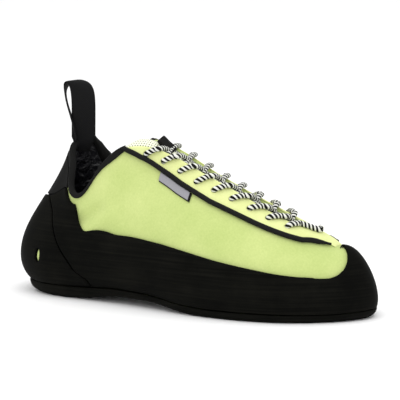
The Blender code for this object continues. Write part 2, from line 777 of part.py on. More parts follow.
def feather_distance(a):
    """Distance from the axis to the feather edge, where the upper ends underneath."""
    far = np.hypot(ring("x", a) - ring("axis_x", a), ring("y", a) - ring("axis_y", a))
    return far * ring("foot", a)


def plate(name, distance, levels, finish):
    """A closed plate under the foot. Each level is a share of the distance, an extra length and a height share."""
    a = full_columns()
    far = distance(a)
    rows = []
    for share, extra, height in levels:
        rows.append(np.concatenate([plan_point(a, far * share + extra), height(a)[:, None]], 1))
    return add_object(name, grid_mesh(name, np.array(rows), closed=True), finish)


def build_outsole(finish):
    """The outsole, flat under the ball and the heel and raised under the arch, with a rounded edge."""

    def at(share):
        return lambda a: ring("lift", a) + ring("sole", a) * share

    levels = (
        (0.0, 0.0, at(0.0)),
        (0.86, 0.0, at(0.0)),
        (1.0, -0.0016, at(0.05)),
        (1.0, 0.0, at(0.40)),
        (1.0, 0.0002, at(0.75)),
        (1.0, 0.0, at(1.0)),
        (0.6, 0.0, at(1.0)),
        (0.0, 0.0, at(1.0)),
    )
    return plate("outsole", rubber_foot_distance, levels, finish)


def build_insole(finish):
    """The board and sock that close the upper's bottom from inside."""

    def low(a):
        return ring("lift", a) + ring("sole", a) + GAP * 2

    def high(a):
        return low(a) + INSOLE_WALL

    levels = (
        (0.0, 0.0, low),
        (1.0, -UPPER_WALL, low),
        (1.0, -UPPER_WALL, high),
        (0.0, 0.0, high),
    )
    return plate("insole", feather_distance, levels, finish)


def tongue_grid():
    """Points of the tongue's outer face: under the upper at its edges, arched across the throat."""
    x = np.linspace(PEAK_X - TONGUE_OVER, THROAT_END_X + TONGUE_OVER, TONGUE_COLUMNS)
    half = place_of(x / LENGTH)
    under_binding = (BINDING_WALL + GAP * 2) * np.interp(x - PEAK_X, BINDING_FADE, (1.0, 0.0))
    depth = -(UPPER_WALL + GAP * 2) - under_binding
    tuck = share_below_rim(half, TONGUE_TUCK)
    tuck_medial = share_below_rim(2.0 - half, TONGUE_TUCK)
    left = surface(half, tuck, depth)
    right = surface(2.0 - half, tuck_medial, depth)
    left_rim = surface(half, np.ones_like(half), depth)
    right_rim = surface(2.0 - half, np.ones_like(half), depth)
    u = np.linspace(0.0, 1.0, TONGUE_ROWS)[:, None, None]
    p1 = left + (left_rim - left) * TONGUE_ARCH
    p2 = right + (right_rim - right) * TONGUE_ARCH
    return (1 - u) ** 3 * left + 3 * u * (1 - u) ** 2 * p1 + 3 * u * u * (1 - u) * p2 + u**3 * right


def build_tongue(finish):
    """The tongue, from in front of the throat to above the collar's peaks."""
    return shell("tongue", tongue_grid(), TONGUE_WALL, finish)


def build_tongue_tab(finish):
    """A folded webbing tab that stands on the tongue beside the medial edge of the throat."""
    middle = np.array((TAB_X - BOX_CENTRE * LENGTH, TAB_Y))
    x = middle[0] + np.array((-0.5, 0.5)) * TAB_LENGTH
    columns = tongue_grid().transpose(1, 0, 2)
    inner_y = TAB_Y - TAB_SPREAD - TAB_WALL / 2
    high = [np.interp(inner_y, column[:, 1], column[:, 2]) for column in columns]
    foot = np.interp(x, columns[:, 0, 0], high).max() + GAP * 1.5
    across, height = np.array(TAB_FOLD).T
    points = np.empty((len(across), 2, 3))
    points[..., 0] = x[None, :] - height[:, None] * TAB_LEAN
    points[..., 1] = middle[1] + across[:, None] * TAB_SPREAD
    points[..., 2] = foot + height[:, None] * TAB_HEIGHT
    tab = add_object("tongue_tab", grid_mesh("tongue_tab", points), finish)
    wall = solidify(tab, TAB_WALL)
    wall.offset = 0.0
    return tab


def lace_bar(start, end, from_medial):
    """Points of one lace bar, from an eyelet over the throat's edge to the next eyelet on the other side."""
    lift = GAP * 6 + EYESTAY_WALL + LACE_RADIUS
    ends = []
    for place, other, medial, slant in ((start, end, from_medial, LACE_SLANT), (end, start, not from_medial, 0.0)):
        half = place + (other - place) * np.array((0.0, 0.5, 1.0)) * slant
        a = side(half, medial)
        edge = eyelet_share(a[:1])[0]
        t = edge + (1.0 - edge) * np.array((0.0, 0.5, 1.0))
        ends.append(surface(a, t, lift))
    first, last = ends[0], ends[1][::-1]
    middle = (first[-1] + last[0]) / 2
    middle[2] += LACE_ARCH
    return np.concatenate([first, middle[None], last])


def build_laces(finish):
    """Crossed lace bars from eyelet to eyelet, two zigzag tubes joined where they cross."""
    half = eyelet_places()
    chains = []
    for first in (False, True):
        medial = first
        path = []
        for start, end in zip(half[:-1], half[1:]):
            bar = lace_bar(start, end, medial)
            path.extend(bar if not path else bar[1:])
            medial = not medial
        chains.append(path)
    first = as_mesh(tube("laces", chains[0], LACE_RADIUS, finish, sides=1))
    second = as_mesh(tube("lace_second", chains[1], LACE_RADIUS, finish, sides=1))
    move_to_cutters(second)
    join = first.modifiers.new("join", "BOOLEAN")
    join.operation = "UNION"
    join.solver = "EXACT"
    join.object = second
    return first


def build_pull_loop(finish):
    """A webbing loop above the heel. Its back leg lies edge on to the side and its front leg face on."""
    base = surface(np.array(0.0), np.array(1.0), 0.0)
    base = base + np.array((0.0, 0.0, BINDING_WALL + GAP * 6))
    along, height, turn = np.array(LOOP_PATH).T
    knots = np.linspace(0.0, 1.0, len(along))
    u = np.linspace(0.0, 1.0, LOOP_STEPS)
    path = [np.interp(u, knots, values) for values in (along, height, turn)]
    weight = np.array((0.25, 0.5, 0.25))
    for values in path:
        for _ in range(LOOP_SOFTENING):
            values[1:-1] = np.convolve(values, weight, "valid")
    angle = np.radians(path[2])
    across = np.stack([-np.sin(angle), np.cos(angle), np.zeros_like(angle)], -1)
    centre = base + np.stack([path[0] * LOOP_SPREAD, np.zeros_like(u), path[1] * LOOP_HEIGHT], -1)
    points = np.stack([centre - across * LOOP_WIDTH / 2, centre, centre + across * LOOP_WIDTH / 2])
    loop = add_object("pull_loop", grid_mesh("pull_loop", points), finish)
    wall = solidify(loop, LOOP_WALL)
    wall.offset = 0.0
    return loop


def build_all():
    """Builds every part of the shoe."""
    clear_scene()
    rubber = material("rubber", (0.02, 0.02, 0.02), 0.75)
    lime = material("lime_fabric", (0.55, 0.75, 0.16), 0.85)
    band = material("lime_band", (0.66, 0.83, 0.28), 0.85)
    black = material("black_binding", (0.015, 0.015, 0.015), 0.8)
    webbing = material("black_webbing", (0.02, 0.02, 0.02), 0.9)
    pale = material("pale_mesh", (0.85, 0.85, 0.80), 0.9)
    cord = material("striped_cord", (0.45, 0.45, 0.45), 0.9)
    board = material("insole_board", (0.06, 0.06, 0.06), 0.9)
    build_outsole(rubber)
    build_insole(board)
    upper = build_upper(lime)
    build_rand(rubber)
    build_heel_cup(rubber)
    build_heel_collar(webbing)
    eyestay = build_eyestay(band)
    for medial in (False, True):
        pegs = eyelet_cutters(black, medial)
        cut(eyestay, pegs)
        cut(upper, pegs)
        build_piping(black, medial)
    build_label(pale)
    build_binding(black)
    build_tongue(pale)
    build_tongue_tab(webbing)
    build_laces(cord)
    build_pull_loop(webbing)


build_all()
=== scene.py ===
"""Looks of the right-foot lace-up climbing shoe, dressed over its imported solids.

Every fabric and rubber piece is a closed skin on one surface, the last, which repeats the named sizes of the part's
source. A place on it is (a, t): a runs round the foot from the back of the heel (0) along the outer side to the tip of
the toe (1) and back along the inner side (2), and t runs up from the feather edge (0) to the rim (1).
"""

import logging
import math
from dataclasses import dataclass
from enum import Enum
from typing import Optional, Sequence

import bmesh
import bpy
import numpy as np
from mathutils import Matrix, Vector


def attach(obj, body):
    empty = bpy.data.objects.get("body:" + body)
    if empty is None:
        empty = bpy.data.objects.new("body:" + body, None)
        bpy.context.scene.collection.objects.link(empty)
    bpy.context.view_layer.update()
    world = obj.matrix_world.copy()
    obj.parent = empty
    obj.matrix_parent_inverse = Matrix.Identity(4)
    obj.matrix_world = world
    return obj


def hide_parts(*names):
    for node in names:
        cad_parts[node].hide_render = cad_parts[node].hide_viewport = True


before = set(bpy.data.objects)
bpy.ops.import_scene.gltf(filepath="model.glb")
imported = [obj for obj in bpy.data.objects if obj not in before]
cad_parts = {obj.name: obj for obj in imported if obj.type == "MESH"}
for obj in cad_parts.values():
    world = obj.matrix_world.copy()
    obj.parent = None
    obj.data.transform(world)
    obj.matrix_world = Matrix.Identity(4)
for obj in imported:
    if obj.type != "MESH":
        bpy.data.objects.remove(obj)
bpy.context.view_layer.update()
LOG = logging.getLogger("climbing_shoe")
Array = np.ndarray
Mesh = bpy.types.Mesh
Socket = bpy.types.NodeSocket
Tree = bpy.types.NodeTree

# Driving sizes of the shoe, in metres, as in the part's source
LENGTH = 0.250
BALL_WIDTH = 0.080
COLLAR_HEIGHT = 0.102
SOLE_THICKNESS = 0.005
ARCH_RISE = 0.005
GAP = 0.0003
UPPER_WALL = 0.0018
RUBBER_WALL = 0.0018
RUBBER_GAP = 0.0006
EYESTAY_WALL = 0.0010
BOX_CENTRE = 0.5094
UNDER_SHARE = 0.16
CLOSED_RIM = 0.0004
FLAT_BELOW = 0.0001
# Samples round the ring, reach of their average in samples, and samples of the rubber's and the collar's edge
SAMPLES = 800
SMOOTHING = 5.0
EDGE_SAMPLES = 321
COLLAR_SAMPLES = 40
# Steps of a and t and highest t for reading slopes, distance at which points merge, sides of a tube, length of
# the pegs that cut holes
STEP_A = 0.002
STEP_T = 0.004
SLOPE_TOP = 0.995
MERGED = 0.00002
TUBE_SIDES = 14
PEG_LENGTH = 0.010

# Plan and sections of the last, a row for each station from the back of the heel to the tip of the toe
PLAN_NAMES = "x lateral medial axis_x axis_y lift sole foot_l foot_m".split()
PLAN = (
    (0.010, 0.000, 0.000, 0.240, 0.000, 0.0, 1.60, 0.72, 0.72),
    (0.032, 0.225, 0.225, 0.240, 0.000, 0.0, 1.60, 0.78, 0.78),
    (0.100, 0.350, 0.350, 0.240, 0.000, 0.0, 1.60, 0.84, 0.82),
    (0.240, 0.388, 0.375, 0.240, 0.000, 0.2, 1.50, 0.80, 0.74),
    (0.292, 0.400, 0.375, 0.292, 0.000, 0.6, 1.26, 0.78, 0.70),
    (0.352, 0.413, 0.375, 0.352, 0.000, 1.0, 1.00, 0.78, 0.68),
    (0.396, 0.428, 0.378, 0.396, 0.000, 1.0, 0.95, 0.79, 0.69),
    (0.460, 0.450, 0.388, 0.460, 0.000, 0.9, 0.90, 0.82, 0.72),
    (0.560, 0.500, 0.438, 0.560, 0.000, 0.2, 1.00, 0.88, 0.80),
    (0.660, 0.513, 0.488, 0.660, 0.000, 0.0, 1.00, 0.90, 0.88),
    (0.760, 0.481, 0.513, 0.760, 0.012, 0.0, 1.00, 0.91, 0.90),
    (0.824, 0.425, 0.494, 0.824, 0.025, 0.0, 1.00, 0.92, 0.91),
    (0.864, 0.369, 0.475, 0.864, 0.038, 0.0, 1.00, 0.92, 0.92),
    (0.916, 0.263, 0.425, 0.916, 0.063, 0.0, 1.00, 0.93, 0.93),
    (0.974, 0.100, 0.325, 0.928, 0.075, 0.1, 1.00, 0.93, 0.93),
    (1.010, -0.113, 0.113, 0.928, 0.075, 0.2, 1.00, 0.93, 0.93),
)
SECTION_NAMES = "wide_l wide_m rim_l rim_m top_l top_m rise reach drop".split()
SECTIONS = (
    (0.245, 0.245, 0.256, 0.256, 0.99, 0.99, 0.33, 0.35, 0.45),
    (0.235, 0.235, 0.269, 0.275, 0.96, 1.000, 0.32, 0.30, 0.48),
    (0.216, 0.216, 0.263, 0.285, 0.87, 1.025, 0.32, 0.30, 0.48),
    (0.196, 0.216, 0.313, 0.300, 0.69, 0.80, 0.40, 0.50, 0.45),
    (0.196, 0.225, 0.300, 0.300, 0.88, 0.88, 0.40, 0.60, 0.45),
    (0.196, 0.235, 0.250, 0.250, 1.00, 1.01, 0.42, 0.60, 0.40),
    (0.192, 0.231, 0.175, 0.175, 1.010, 1.005, 0.43, 0.61, 0.36),
    (0.186, 0.225, 0.138, 0.138, 0.970, 0.955, 0.45, 0.62, 0.30),
    (0.167, 0.196, 0.119, 0.125, 0.855, 0.83, 0.48, 0.62, 0.22),
    (0.147, 0.167, 0.109, 0.119, 0.745, 0.72, 0.50, 0.62, 0.18),
    (0.127, 0.147, 0.094, 0.106, 0.62, 0.615, 0.52, 0.60, 0.10),
    (0.118, 0.137, 0.063, 0.063, 0.55, 0.55, 0.54, 0.58, 0.04),
    (0.118, 0.127, 0.000, 0.000, 0.51, 0.51, 0.55, 0.56, 0.00),
    (0.108, 0.118, 0.000, 0.000, 0.44, 0.44, 0.52, 0.54, 0.00),
    (0.108, 0.108, 0.000, 0.000, 0.43, 0.43, 0.42, 0.50, 0.00),
    (0.108, 0.108, 0.000, 0.000, 0.43, 0.43, 0.36, 0.46, 0.00),
)

# Top edge of the rubber: share of LENGTH, share of COLLAR_HEIGHT
RUBBER_EDGE = (
    (0.010, 0.61),
    (0.060, 0.64),
    (0.160, 0.70),
    (0.205, 0.66),
    (0.222, 0.62),
    (0.232, 0.48),
    (0.249, 0.447),
    (0.352, 0.450),
    (0.460, 0.437),
    (0.560, 0.405),
    (0.660, 0.360),
    (0.760, 0.322),
    (0.824, 0.296),
    (0.864, 0.282),
    (0.904, 0.275),
)
EDGE_SOFTENING = 24
# Where along the shoe the rubber turns over the crest, as shares of LENGTH
TOE_CAP_FROM = 0.908
TOE_CAP_TO = 0.984
# Edge of the toe cap as it shows: place round the half shoe, share of the column
CAP_EDGE = (
    (0.845, 0.418),
    (0.880, 0.452),
    (0.900, 0.495),
    (0.918, 0.565),
    (0.932, 0.660),
    (0.944, 0.800),
    (0.954, 1.0),
)

# Seam between heel cup and sling band: share of the rubber's height, share of the way round the half shoe
HEEL_SEAM = ((0.0, 0.290), (0.16, 0.280), (0.30, 0.245), (0.62, 0.180), (0.81, 0.143), (1.0, 0.090))

# Piping line: share of LENGTH, share of the way from the feather edge to the rim
PIPING_LINE = (
    (0.350, 1.0),
    (0.366, 0.972),
    (0.393, 0.935),
    (0.460, 0.875),
    (0.515, 0.835),
    (0.607, 0.795),
    (0.712, 0.785),
    (0.799, 0.775),
    (0.849, 0.768),
    (0.880, 0.830),
    (0.905, 0.900),
)

# The collar's peaks and the throat's end along the shoe, and the binding's depth, in metres
PEAK_X = 0.088
THROAT_END_X = 0.211
BINDING_DEPTH = 0.0045
# Eyelets: share of the way along their row, distance below the throat's edge in metres
EYELET_EDGES = ((0.0, 0.0050), (0.35, 0.0086), (1.0, 0.0064))
# The lace, its stripes and its braid, in metres
LACE_RADIUS = 0.0019
LACE_GIRTH = 2 * math.pi * LACE_RADIUS
STRIPE_PITCH = 0.0026
STRIPE_STARTS = 2
STRAND_PITCH = 0.0009
# Folds in the lining: how many a metre, and their depth in metres
FOLDS = 95.0
FOLD_DEPTH = 0.006
# Texture scales of nap and buffed rubber, a metre: clouds of the nap, lines, grain and clouds of the rubber
NAP_CLOUDS = 28.0
BUFF_LINES = (18.0, 18.0, 900.0)
BUFF_GRAIN = 2600.0
BUFF_CLOUDS = 45.0
# Edge of a hole in the perforated cloth, as distances in its cell
HOLE_EDGE = (0.20, 0.27)
# Round the collar: where the inner side's rim is padded, and how wide the binding shows on the outer side
PADDED = ((-0.26, 0.0), (-0.228, 1.0), (-0.20, 1.0), (-0.17, 0.4), (-0.135, 0.0))
SHOWN = ((0.12, 1.0), (0.17, 0.35), (0.285, 0.35), (0.325, 1.0))
# Path of the pull loop: share of the spread, share of the height, turn in degrees
LOOP_PATH = (
    (0.00, 0.00, 28.0),
    (-0.14, 0.28, 30.0),
    (-0.42, 0.58, 34.0),
    (-0.52, 0.84, 34.0),
    (-0.24, 1.00, 4.0),
    (0.22, 1.02, -20.0),
    (0.54, 0.90, -46.0),
    (0.60, 0.64, -60.0),
    (0.60, 0.32, -60.0),
    (0.60, 0.00, -60.0),
)


def ramp(x: Array, zero_at: Array | float, one_at: Array | float) -> Array:
    """Rises in a line from 0 at one value of x to 1 at the other."""
    return np.clip((x - zero_at) / (one_at - zero_at), 0.0, 1.0)


def eased(share: Array) -> Array:
    """A share from 0 to 1 that starts and ends flat."""
    return share * share * (3 - 2 * share)


def from_table(x: Array, rows: Sequence[tuple[float, float]]) -> Array:
    """Value at x, read in a line between the rows (x, value) of a table."""
    return np.interp(x, *np.array(rows).T)


def averaged(values: Array, times: int) -> Array:
    """Values averaged with their neighbours a number of times, with both ends kept."""
    values = values.copy()
    for _ in range(times):
        values[1:-1] = np.convolve(values, (0.25, 0.5, 0.25), "valid")
    return values


def unit(vectors: Array) -> Array:
    """Vectors on the last axis, brought to the length 1."""
    return vectors / np.linalg.norm(vectors, axis=-1, keepdims=True)


def quiet_spline(knots: Array, values: Array, where: Array) -> Array:
    """Closed smooth curve through a column of the station table.

    Args:
        knots: Places of the stations round the ring.
        values: The column's values there.
        where: Places to read.

    Returns:
        Cubic Hermite values whose slope at a knot is the weighted mean of its two sides.
    """
    x = np.concatenate([knots[-3:] - 2.0, knots, knots[:3] + 2.0])
    y = np.concatenate([values[-3:], values, values[:3]])
    width = np.diff(x)
    slope = np.diff(y) / width
    tangent = np.zeros_like(y)
    tangent[1:-1] = (slope[:-1] * width[1:] + slope[1:] * width[:-1]) / (width[:-1] + width[1:])
    k = np.searchsorted(x, where, side="right") - 1
    u = (where - x[k]) / width[k]
    start = (1 + 2 * u) * (1 - u) ** 2 * y[k] + u * (1 - u) ** 2 * width[k] * tangent[k]
    end = u * u * (3 - 2 * u) * y[k + 1] + u * u * (u - 1) * width[k] * tangent[k + 1]
    return start + end


def softened(values: Array) -> Array:
    """Gaussian average along the ring."""
    reach = np.arange(-4 * int(SMOOTHING), 4 * int(SMOOTHING) + 1)
    weight = np.exp(-0.5 * (reach / SMOOTHING) ** 2)
    weight /= weight.sum()
    return sum(w * np.roll(values, j) for w, j in zip(weight, reach))


@dataclass
class Crease:
    """A soft trough or ridge placed on the upper.

    The line runs from start to end in the shoe's own side view, and the height over it is a bell across the line that
    fades out at both ends.
    """

    start: tuple[float, float]
    end: tuple[float, float]
    width: float
    depth: float
    fade: float = 0.25

    def height(self, points: Array) -> Array:
        """Outward move at the points.

        Args:
            points: Places in metres, last axis x, y, z.

        Returns:
            Height in metres, positive on a ridge.
        """
        start, end = np.array(self.start), np.array(self.end)
        line = end - start
        reach = np.linalg.norm(line)
        rel = points[..., [0, 2]] - start
        along = rel @ (line / reach) / reach
        across = rel @ (np.array((-line[1], line[0])) / reach)
        near_end = np.minimum(along, 1.0 - along)
        return np.exp(-((across / self.width) ** 2)) * eased(ramp(near_end, -self.fade, self.fade)) * self.depth


# Main creases of the upper: start and end in the side view (x, z), half width and height, in metres.
# They are the same on both sides.
CREASES = (
    Crease((-0.072, 0.0520), (-0.052, 0.0640), 0.0034, -0.0022),
    Crease((-0.066, 0.0440), (-0.043, 0.0590), 0.0042, 0.0011),
    Crease((-0.046, 0.0720), (-0.026, 0.0560), 0.0060, -0.0004),
    Crease((0.010, 0.0560), (0.024, 0.0420), 0.0050, -0.0003),
    Crease((0.055, 0.0500), (0.046, 0.0340), 0.0050, -0.0003),
    Crease((0.072, 0.0460), (0.068, 0.0330), 0.0045, 0.0003),
)


class Last:
    """The shoe's surface, worked out from the station tables."""

    def __init__(self) -> None:
        """Samples the tables round the ring."""
        plan = {name: np.array(column) for name, column in zip(PLAN_NAMES, zip(*PLAN))}
        plan.update({name: np.array(column) for name, column in zip(SECTION_NAMES, zip(*SECTIONS))})
        x = plan["x"] * LENGTH
        lateral = -plan["lateral"] * BALL_WIDTH
        along = np.concatenate([[0.0], np.cumsum(np.hypot(np.diff(x), np.diff(lateral)))])
        along /= along[-1]
        knots = np.concatenate([along, 2.0 - along[-2:0:-1]])
        columns = {"x": (x, x), "y": (lateral, plan["medial"] * BALL_WIDTH)}
        for name, size in (("foot", 1.0), ("wide", COLLAR_HEIGHT), ("rim", BALL_WIDTH), ("top", COLLAR_HEIGHT)):
            columns[name] = (plan[name + "_l"] * size, plan[name + "_m"] * size)
        both = {"axis_x": LENGTH, "axis_y": BALL_WIDTH, "lift": ARCH_RISE, "sole": SOLE_THICKNESS}
        for name, size in {**both, "rise": 1.0, "reach": 1.0, "drop": 1.0}.items():
            columns[name] = (plan[name] * size,) * 2
        where = np.arange(SAMPLES) * 2.0 / SAMPLES
        self.rings = {}
        for name, (lateral_side, medial_side) in columns.items():
            values = np.concatenate([lateral_side, medial_side[-2:0:-1]])
            self.rings[name] = softened(quiet_spline(knots, values, where))
        self.rings["lift"] = np.maximum(self.rings["lift"] - FLAT_BELOW, 0.0)
        self.rings["rubber_foot"] = softened(self._rubber_foot()) + UNDER_SHARE / 32
        edge_x, edge_z = np.array(RUBBER_EDGE).T
        knots = self.place_of(edge_x)
        edge_t = self.share_at_height(knots, edge_z * COLLAR_HEIGHT)
        self.edge_a = np.linspace(knots[0], knots[-1], EDGE_SAMPLES)
        self.edge_t = averaged(np.interp(self.edge_a, knots, edge_t), EDGE_SOFTENING)
        self.collar_a = np.linspace(0.0, self.place_of(PEAK_X / LENGTH), COLLAR_SAMPLES)
        self.collar_t = self.share_below_rim(self.collar_a, BINDING_DEPTH + 3 * GAP)
        self.collar_a = np.append(self.collar_a, self.collar_a[-1] + 0.01)
        self.collar_t = np.append(self.collar_t, 1.0)

    def ring(self, name: str, a: Array) -> Array:
        """A ring's value at a, read between its samples."""
        values = self.rings[name]
        place = np.mod(a, 2.0) * SAMPLES / 2.0
        low = np.floor(place).astype(int)
        share = place - low
        return values[low % SAMPLES] * (1 - share) + values[(low + 1) % SAMPLES] * share

    def bare(self, a: Array, t: Array) -> Array:
        """Point of the last.

        Below UNDER_SHARE the column is a quarter ellipse from the feather edge out to the widest point. Above, it is
        a cubic curve from the widest point to the rim.

        Args:
            a: Places round the ring.
            t: Shares up the column.

        Returns:
            Points in the part's frame.
        """
        a, t = np.broadcast_arrays(np.asarray(a, float), np.asarray(t, float))
        axis_x, axis_y = self.ring("axis_x", a), self.ring("axis_y", a)
        out_x, out_y = self.ring("x", a) - axis_x, self.ring("y", a) - axis_y
        far = np.hypot(out_x, out_y)
        wide = self.ring("wide", a)
        bottom = self.ring("lift", a) + self.ring("sole", a) + GAP
        foot = self.ring("foot", a)
        turn = ramp(t, 0.0, UNDER_SHARE) * math.pi / 2
        low_r = far * (foot + (1 - foot) * np.sin(turn))
        low_z = bottom + (wide - bottom) * (1 - np.cos(turn))
        u = ramp(t, UNDER_SHARE, 1.0)
        rim = np.maximum(self.ring("rim", a) - CLOSED_RIM, 0.0)
        top = self.ring("top", a)
        height = top - wide
        b0, b1, b2, b3 = (1 - u) ** 3, 3 * u * (1 - u) ** 2, 3 * u * u * (1 - u), u**3
        high_r = (b0 + b1) * far + b2 * (rim + self.ring("reach", a) * (far - rim)) + b3 * rim
        shoulder = top - self.ring("drop", a) * height
        high_z = b0 * wide + b1 * (wide + self.ring("rise", a) * height) + b2 * shoulder + b3 * top
        r = np.where(t < UNDER_SHARE, low_r, high_r)
        z = np.where(t < UNDER_SHARE, low_z, high_z)
        return np.stack([axis_x + out_x / far * r - BOX_CENTRE * LENGTH, axis_y + out_y / far * r, z], -1)

    def normals(self, a: Array, t: Array) -> Array:
        """Outward unit normals, from the differences of nearby points."""
        a, t = np.broadcast_arrays(np.asarray(a, float), np.asarray(t, float))
        inner = np.clip(t, 0.0, SLOPE_TOP)
        round_ring = self.bare(a + STEP_A, inner) - self.bare(a - STEP_A, inner)
        up = self.bare(a, np.minimum(inner + STEP_T, 1.0)) - self.bare(a, np.maximum(inner - STEP_T, 0.0))
        return unit(np.cross(round_ring, up))

    def surface(self, a: Array, t: Array, offset: Array | float = 0.0, creased: bool = True) -> Array:
        """Point moved outward by offset and, where creased, by the upper's creases.

        Args:
            a: Places round the ring.
            t: Shares up the column.
            offset: Outward move in metres.
            creased: Whether the creases are added.

        Returns:
            Points in the part's frame.
        """
        points = self.bare(a, t)
        move = np.asarray(offset, float) + np.zeros(points.shape[:-1])
        if creased:
            move = move + sum(crease.height(points) for crease in CREASES)
        return points + self.normals(a, t) * move[..., None]

    def place_of(self, x_share: Array | float) -> Array:
        """Where on the lateral half a station at this share of the length lies."""
        along = np.linspace(0.0, 1.0, SAMPLES // 2)
        return np.interp(np.asarray(x_share) * LENGTH, self.ring("x", along), along)

    def share_at_height(self, a: Array, z: Array) -> Array:
        """Column shares whose points lie at the heights z."""
        t = np.linspace(UNDER_SHARE, 1.0, 120)
        heights = self.bare(np.atleast_1d(a)[:, None], t[None, :])[..., 2]
        return np.array([np.interp(h, column, t) for h, column in zip(np.atleast_1d(z), heights)])

    def share_below_rim(self, a: Array, distance: Array | float) -> Array:
        """Column share at a distance below the rim, measured on the surface."""
        t = np.linspace(0.5, 1.0, 80)
        points = self.bare(np.atleast_1d(a)[:, None], t[None, :])
        step = np.linalg.norm(np.diff(points, axis=1), axis=2)
        left = np.concatenate([np.cumsum(step[:, ::-1], axis=1)[:, ::-1], np.zeros((len(step), 1))], axis=1)
        wanted = np.broadcast_to(distance, (len(left),))
        return np.array([np.interp(one, row[::-1], t[::-1]) for one, row in zip(wanted, left)])

    def share_moved(self, a: Array, t: Array, distance: Array | float) -> Array:
        """Column share after a short move up the surface from t."""
        speed = np.linalg.norm(self.bare(a, t + STEP_T) - self.bare(a, t - STEP_T), axis=-1) / (2 * STEP_T)
        return t + distance / speed

    def _rubber_foot(self) -> Array:
        """Lowest share at which the rubber's outer face clears the sole's top."""
        a = np.arange(SAMPLES) * 2.0 / SAMPLES
        t = np.linspace(0.0, UNDER_SHARE, 33)
        height = self.surface(a[None, :], t[:, None], RUBBER_GAP + RUBBER_WALL, creased=False)[..., 2]
        floor = self.ring("lift", a) + self.ring("sole", a) + GAP
        return t[np.argmax(height >= floor[None, :], axis=0)]

    def rubber_top(self, a: Array) -> Array:
        """Share of the rubber's top edge: along the side, then over the crest as the toe cap."""
        half = half_place(a)
        low = np.interp(half, self.edge_a, self.edge_t)
        low = np.minimum(low, np.interp(half, self.collar_a, self.collar_t))
        return low + (1.0 - low) * eased(ramp(half, self.place_of(TOE_CAP_FROM), self.place_of(TOE_CAP_TO)))

    def cap_top(self, a: Array) -> Array:
        """The rubber's top edge as it shows, with the toe cap's side bulged forward before it turns over the crest."""
        half = half_place(a)
        return np.where(half < CAP_EDGE[0][0], self.rubber_top(a), from_table(half, CAP_EDGE))

    def piping_share(self, half: Array) -> Array:
        """Share of the piping's line."""
        x, t = np.array(PIPING_LINE).T
        return np.interp(half, self.place_of(x), t)


def half_place(a: Array) -> Array:
    """Distance round the ring from the heel, the shorter way."""
    return np.minimum(np.mod(a, 2.0), 2.0 - np.mod(a, 2.0))


def side(a: Array, medial: bool) -> Array:
    """The same place on the lateral or the medial half of the ring."""
    return 2.0 - a if medial else a


# Meshes


def fill_mesh(name: str, points: Array, quads: Array, uv: Array, finish_of: Optional[Array] = None) -> Mesh:
    """Puts whole arrays into a mesh and merges the points that coincide.

    Args:
        name: Name of the mesh.
        points: Points, one row each.
        quads: Four point numbers for each face, outward side first.
        uv: Pattern coordinates of each point, in metres on the surface where a pattern follows it.
        finish_of: Material number of each face.

    Returns:
        The mesh, smooth shaded.
    """
    mesh = bpy.data.meshes.new(name)
    mesh.vertices.add(len(points))
    mesh.vertices.foreach_set("co", np.ascontiguousarray(points, np.float32).ravel())
    mesh.loops.add(quads.size)
    mesh.loops.foreach_set("vertex_index", quads.ravel().astype(np.int32))
    mesh.polygons.add(len(quads))
    mesh.polygons.foreach_set("loop_start", np.arange(0, quads.size, 4, dtype=np.int32))
    mesh.polygons.foreach_set("loop_total", np.full(len(quads), 4, np.int32))
    layer = mesh.uv_layers.new(name="pattern")
    layer.data.foreach_set("uv", uv[quads.ravel()].astype(np.float32).ravel())
    if finish_of is not None:
        mesh.polygons.foreach_set("material_index", finish_of.astype(np.int32))
    mesh.update(calc_edges=True)
    work = bmesh.new()
    work.from_mesh(mesh)
    bmesh.ops.remove_doubles(work, verts=work.verts, dist=MERGED)
    bmesh.ops.dissolve_degenerate(work, edges=work.edges, dist=MERGED / 2)
    work.to_mesh(mesh)
    work.free()
    mesh.shade_smooth()
    return mesh


def grid_quads(rows: int, columns: int, wrap_rows: bool = False) -> Array:
    """Quads of a grid of points, whose outward side is columns crossed with rows."""
    index = np.arange(rows * columns).reshape(rows, columns)
    if wrap_rows:
        index = np.concatenate([index, index[:1]], 0)
    return np.stack([index[:-1, :-1], index[:-1, 1:], index[1:, 1:], index[1:, :-1]], -1).reshape(-1, 4)


def girth_uv(points: Array) -> Array:
    """Distance along the columns and along the rows of a grid, in metres."""
    across = np.linalg.norm(np.diff(points, axis=1), axis=2).mean(0)
    down = np.linalg.norm(np.diff(points, axis=0), axis=2).mean(1)
    u = np.concatenate([[0.0], np.cumsum(across)])
    v = np.concatenate([[0.0], np.cumsum(down)])
    return np.stack(np.broadcast_arrays(u[None, :], v[:, None]), -1)


def put(mesh: Mesh, finishes: Sequence[bpy.types.Material], slot: str, *stands_for: str) -> bpy.types.Object:
    """Links a finished piece at the origin, riding on the one body of the shoe.

    Args:
        mesh: The piece's mesh, whose name it takes.
        finishes: Its materials, in the order of the faces' material numbers.
        slot: The record's material slot; not used.
        stands_for: CAD nodes that it replaces.

    Returns:
        The piece.
    """
    piece = bpy.data.objects.new(mesh.name, mesh)
    bpy.context.scene.collection.objects.link(piece)
    for finish in finishes:
        mesh.materials.append(finish)
    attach(piece, "root")
    if stands_for:
        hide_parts(*stands_for)
    LOG.info("%s: %d faces", piece.name, len(mesh.polygons))
    return piece


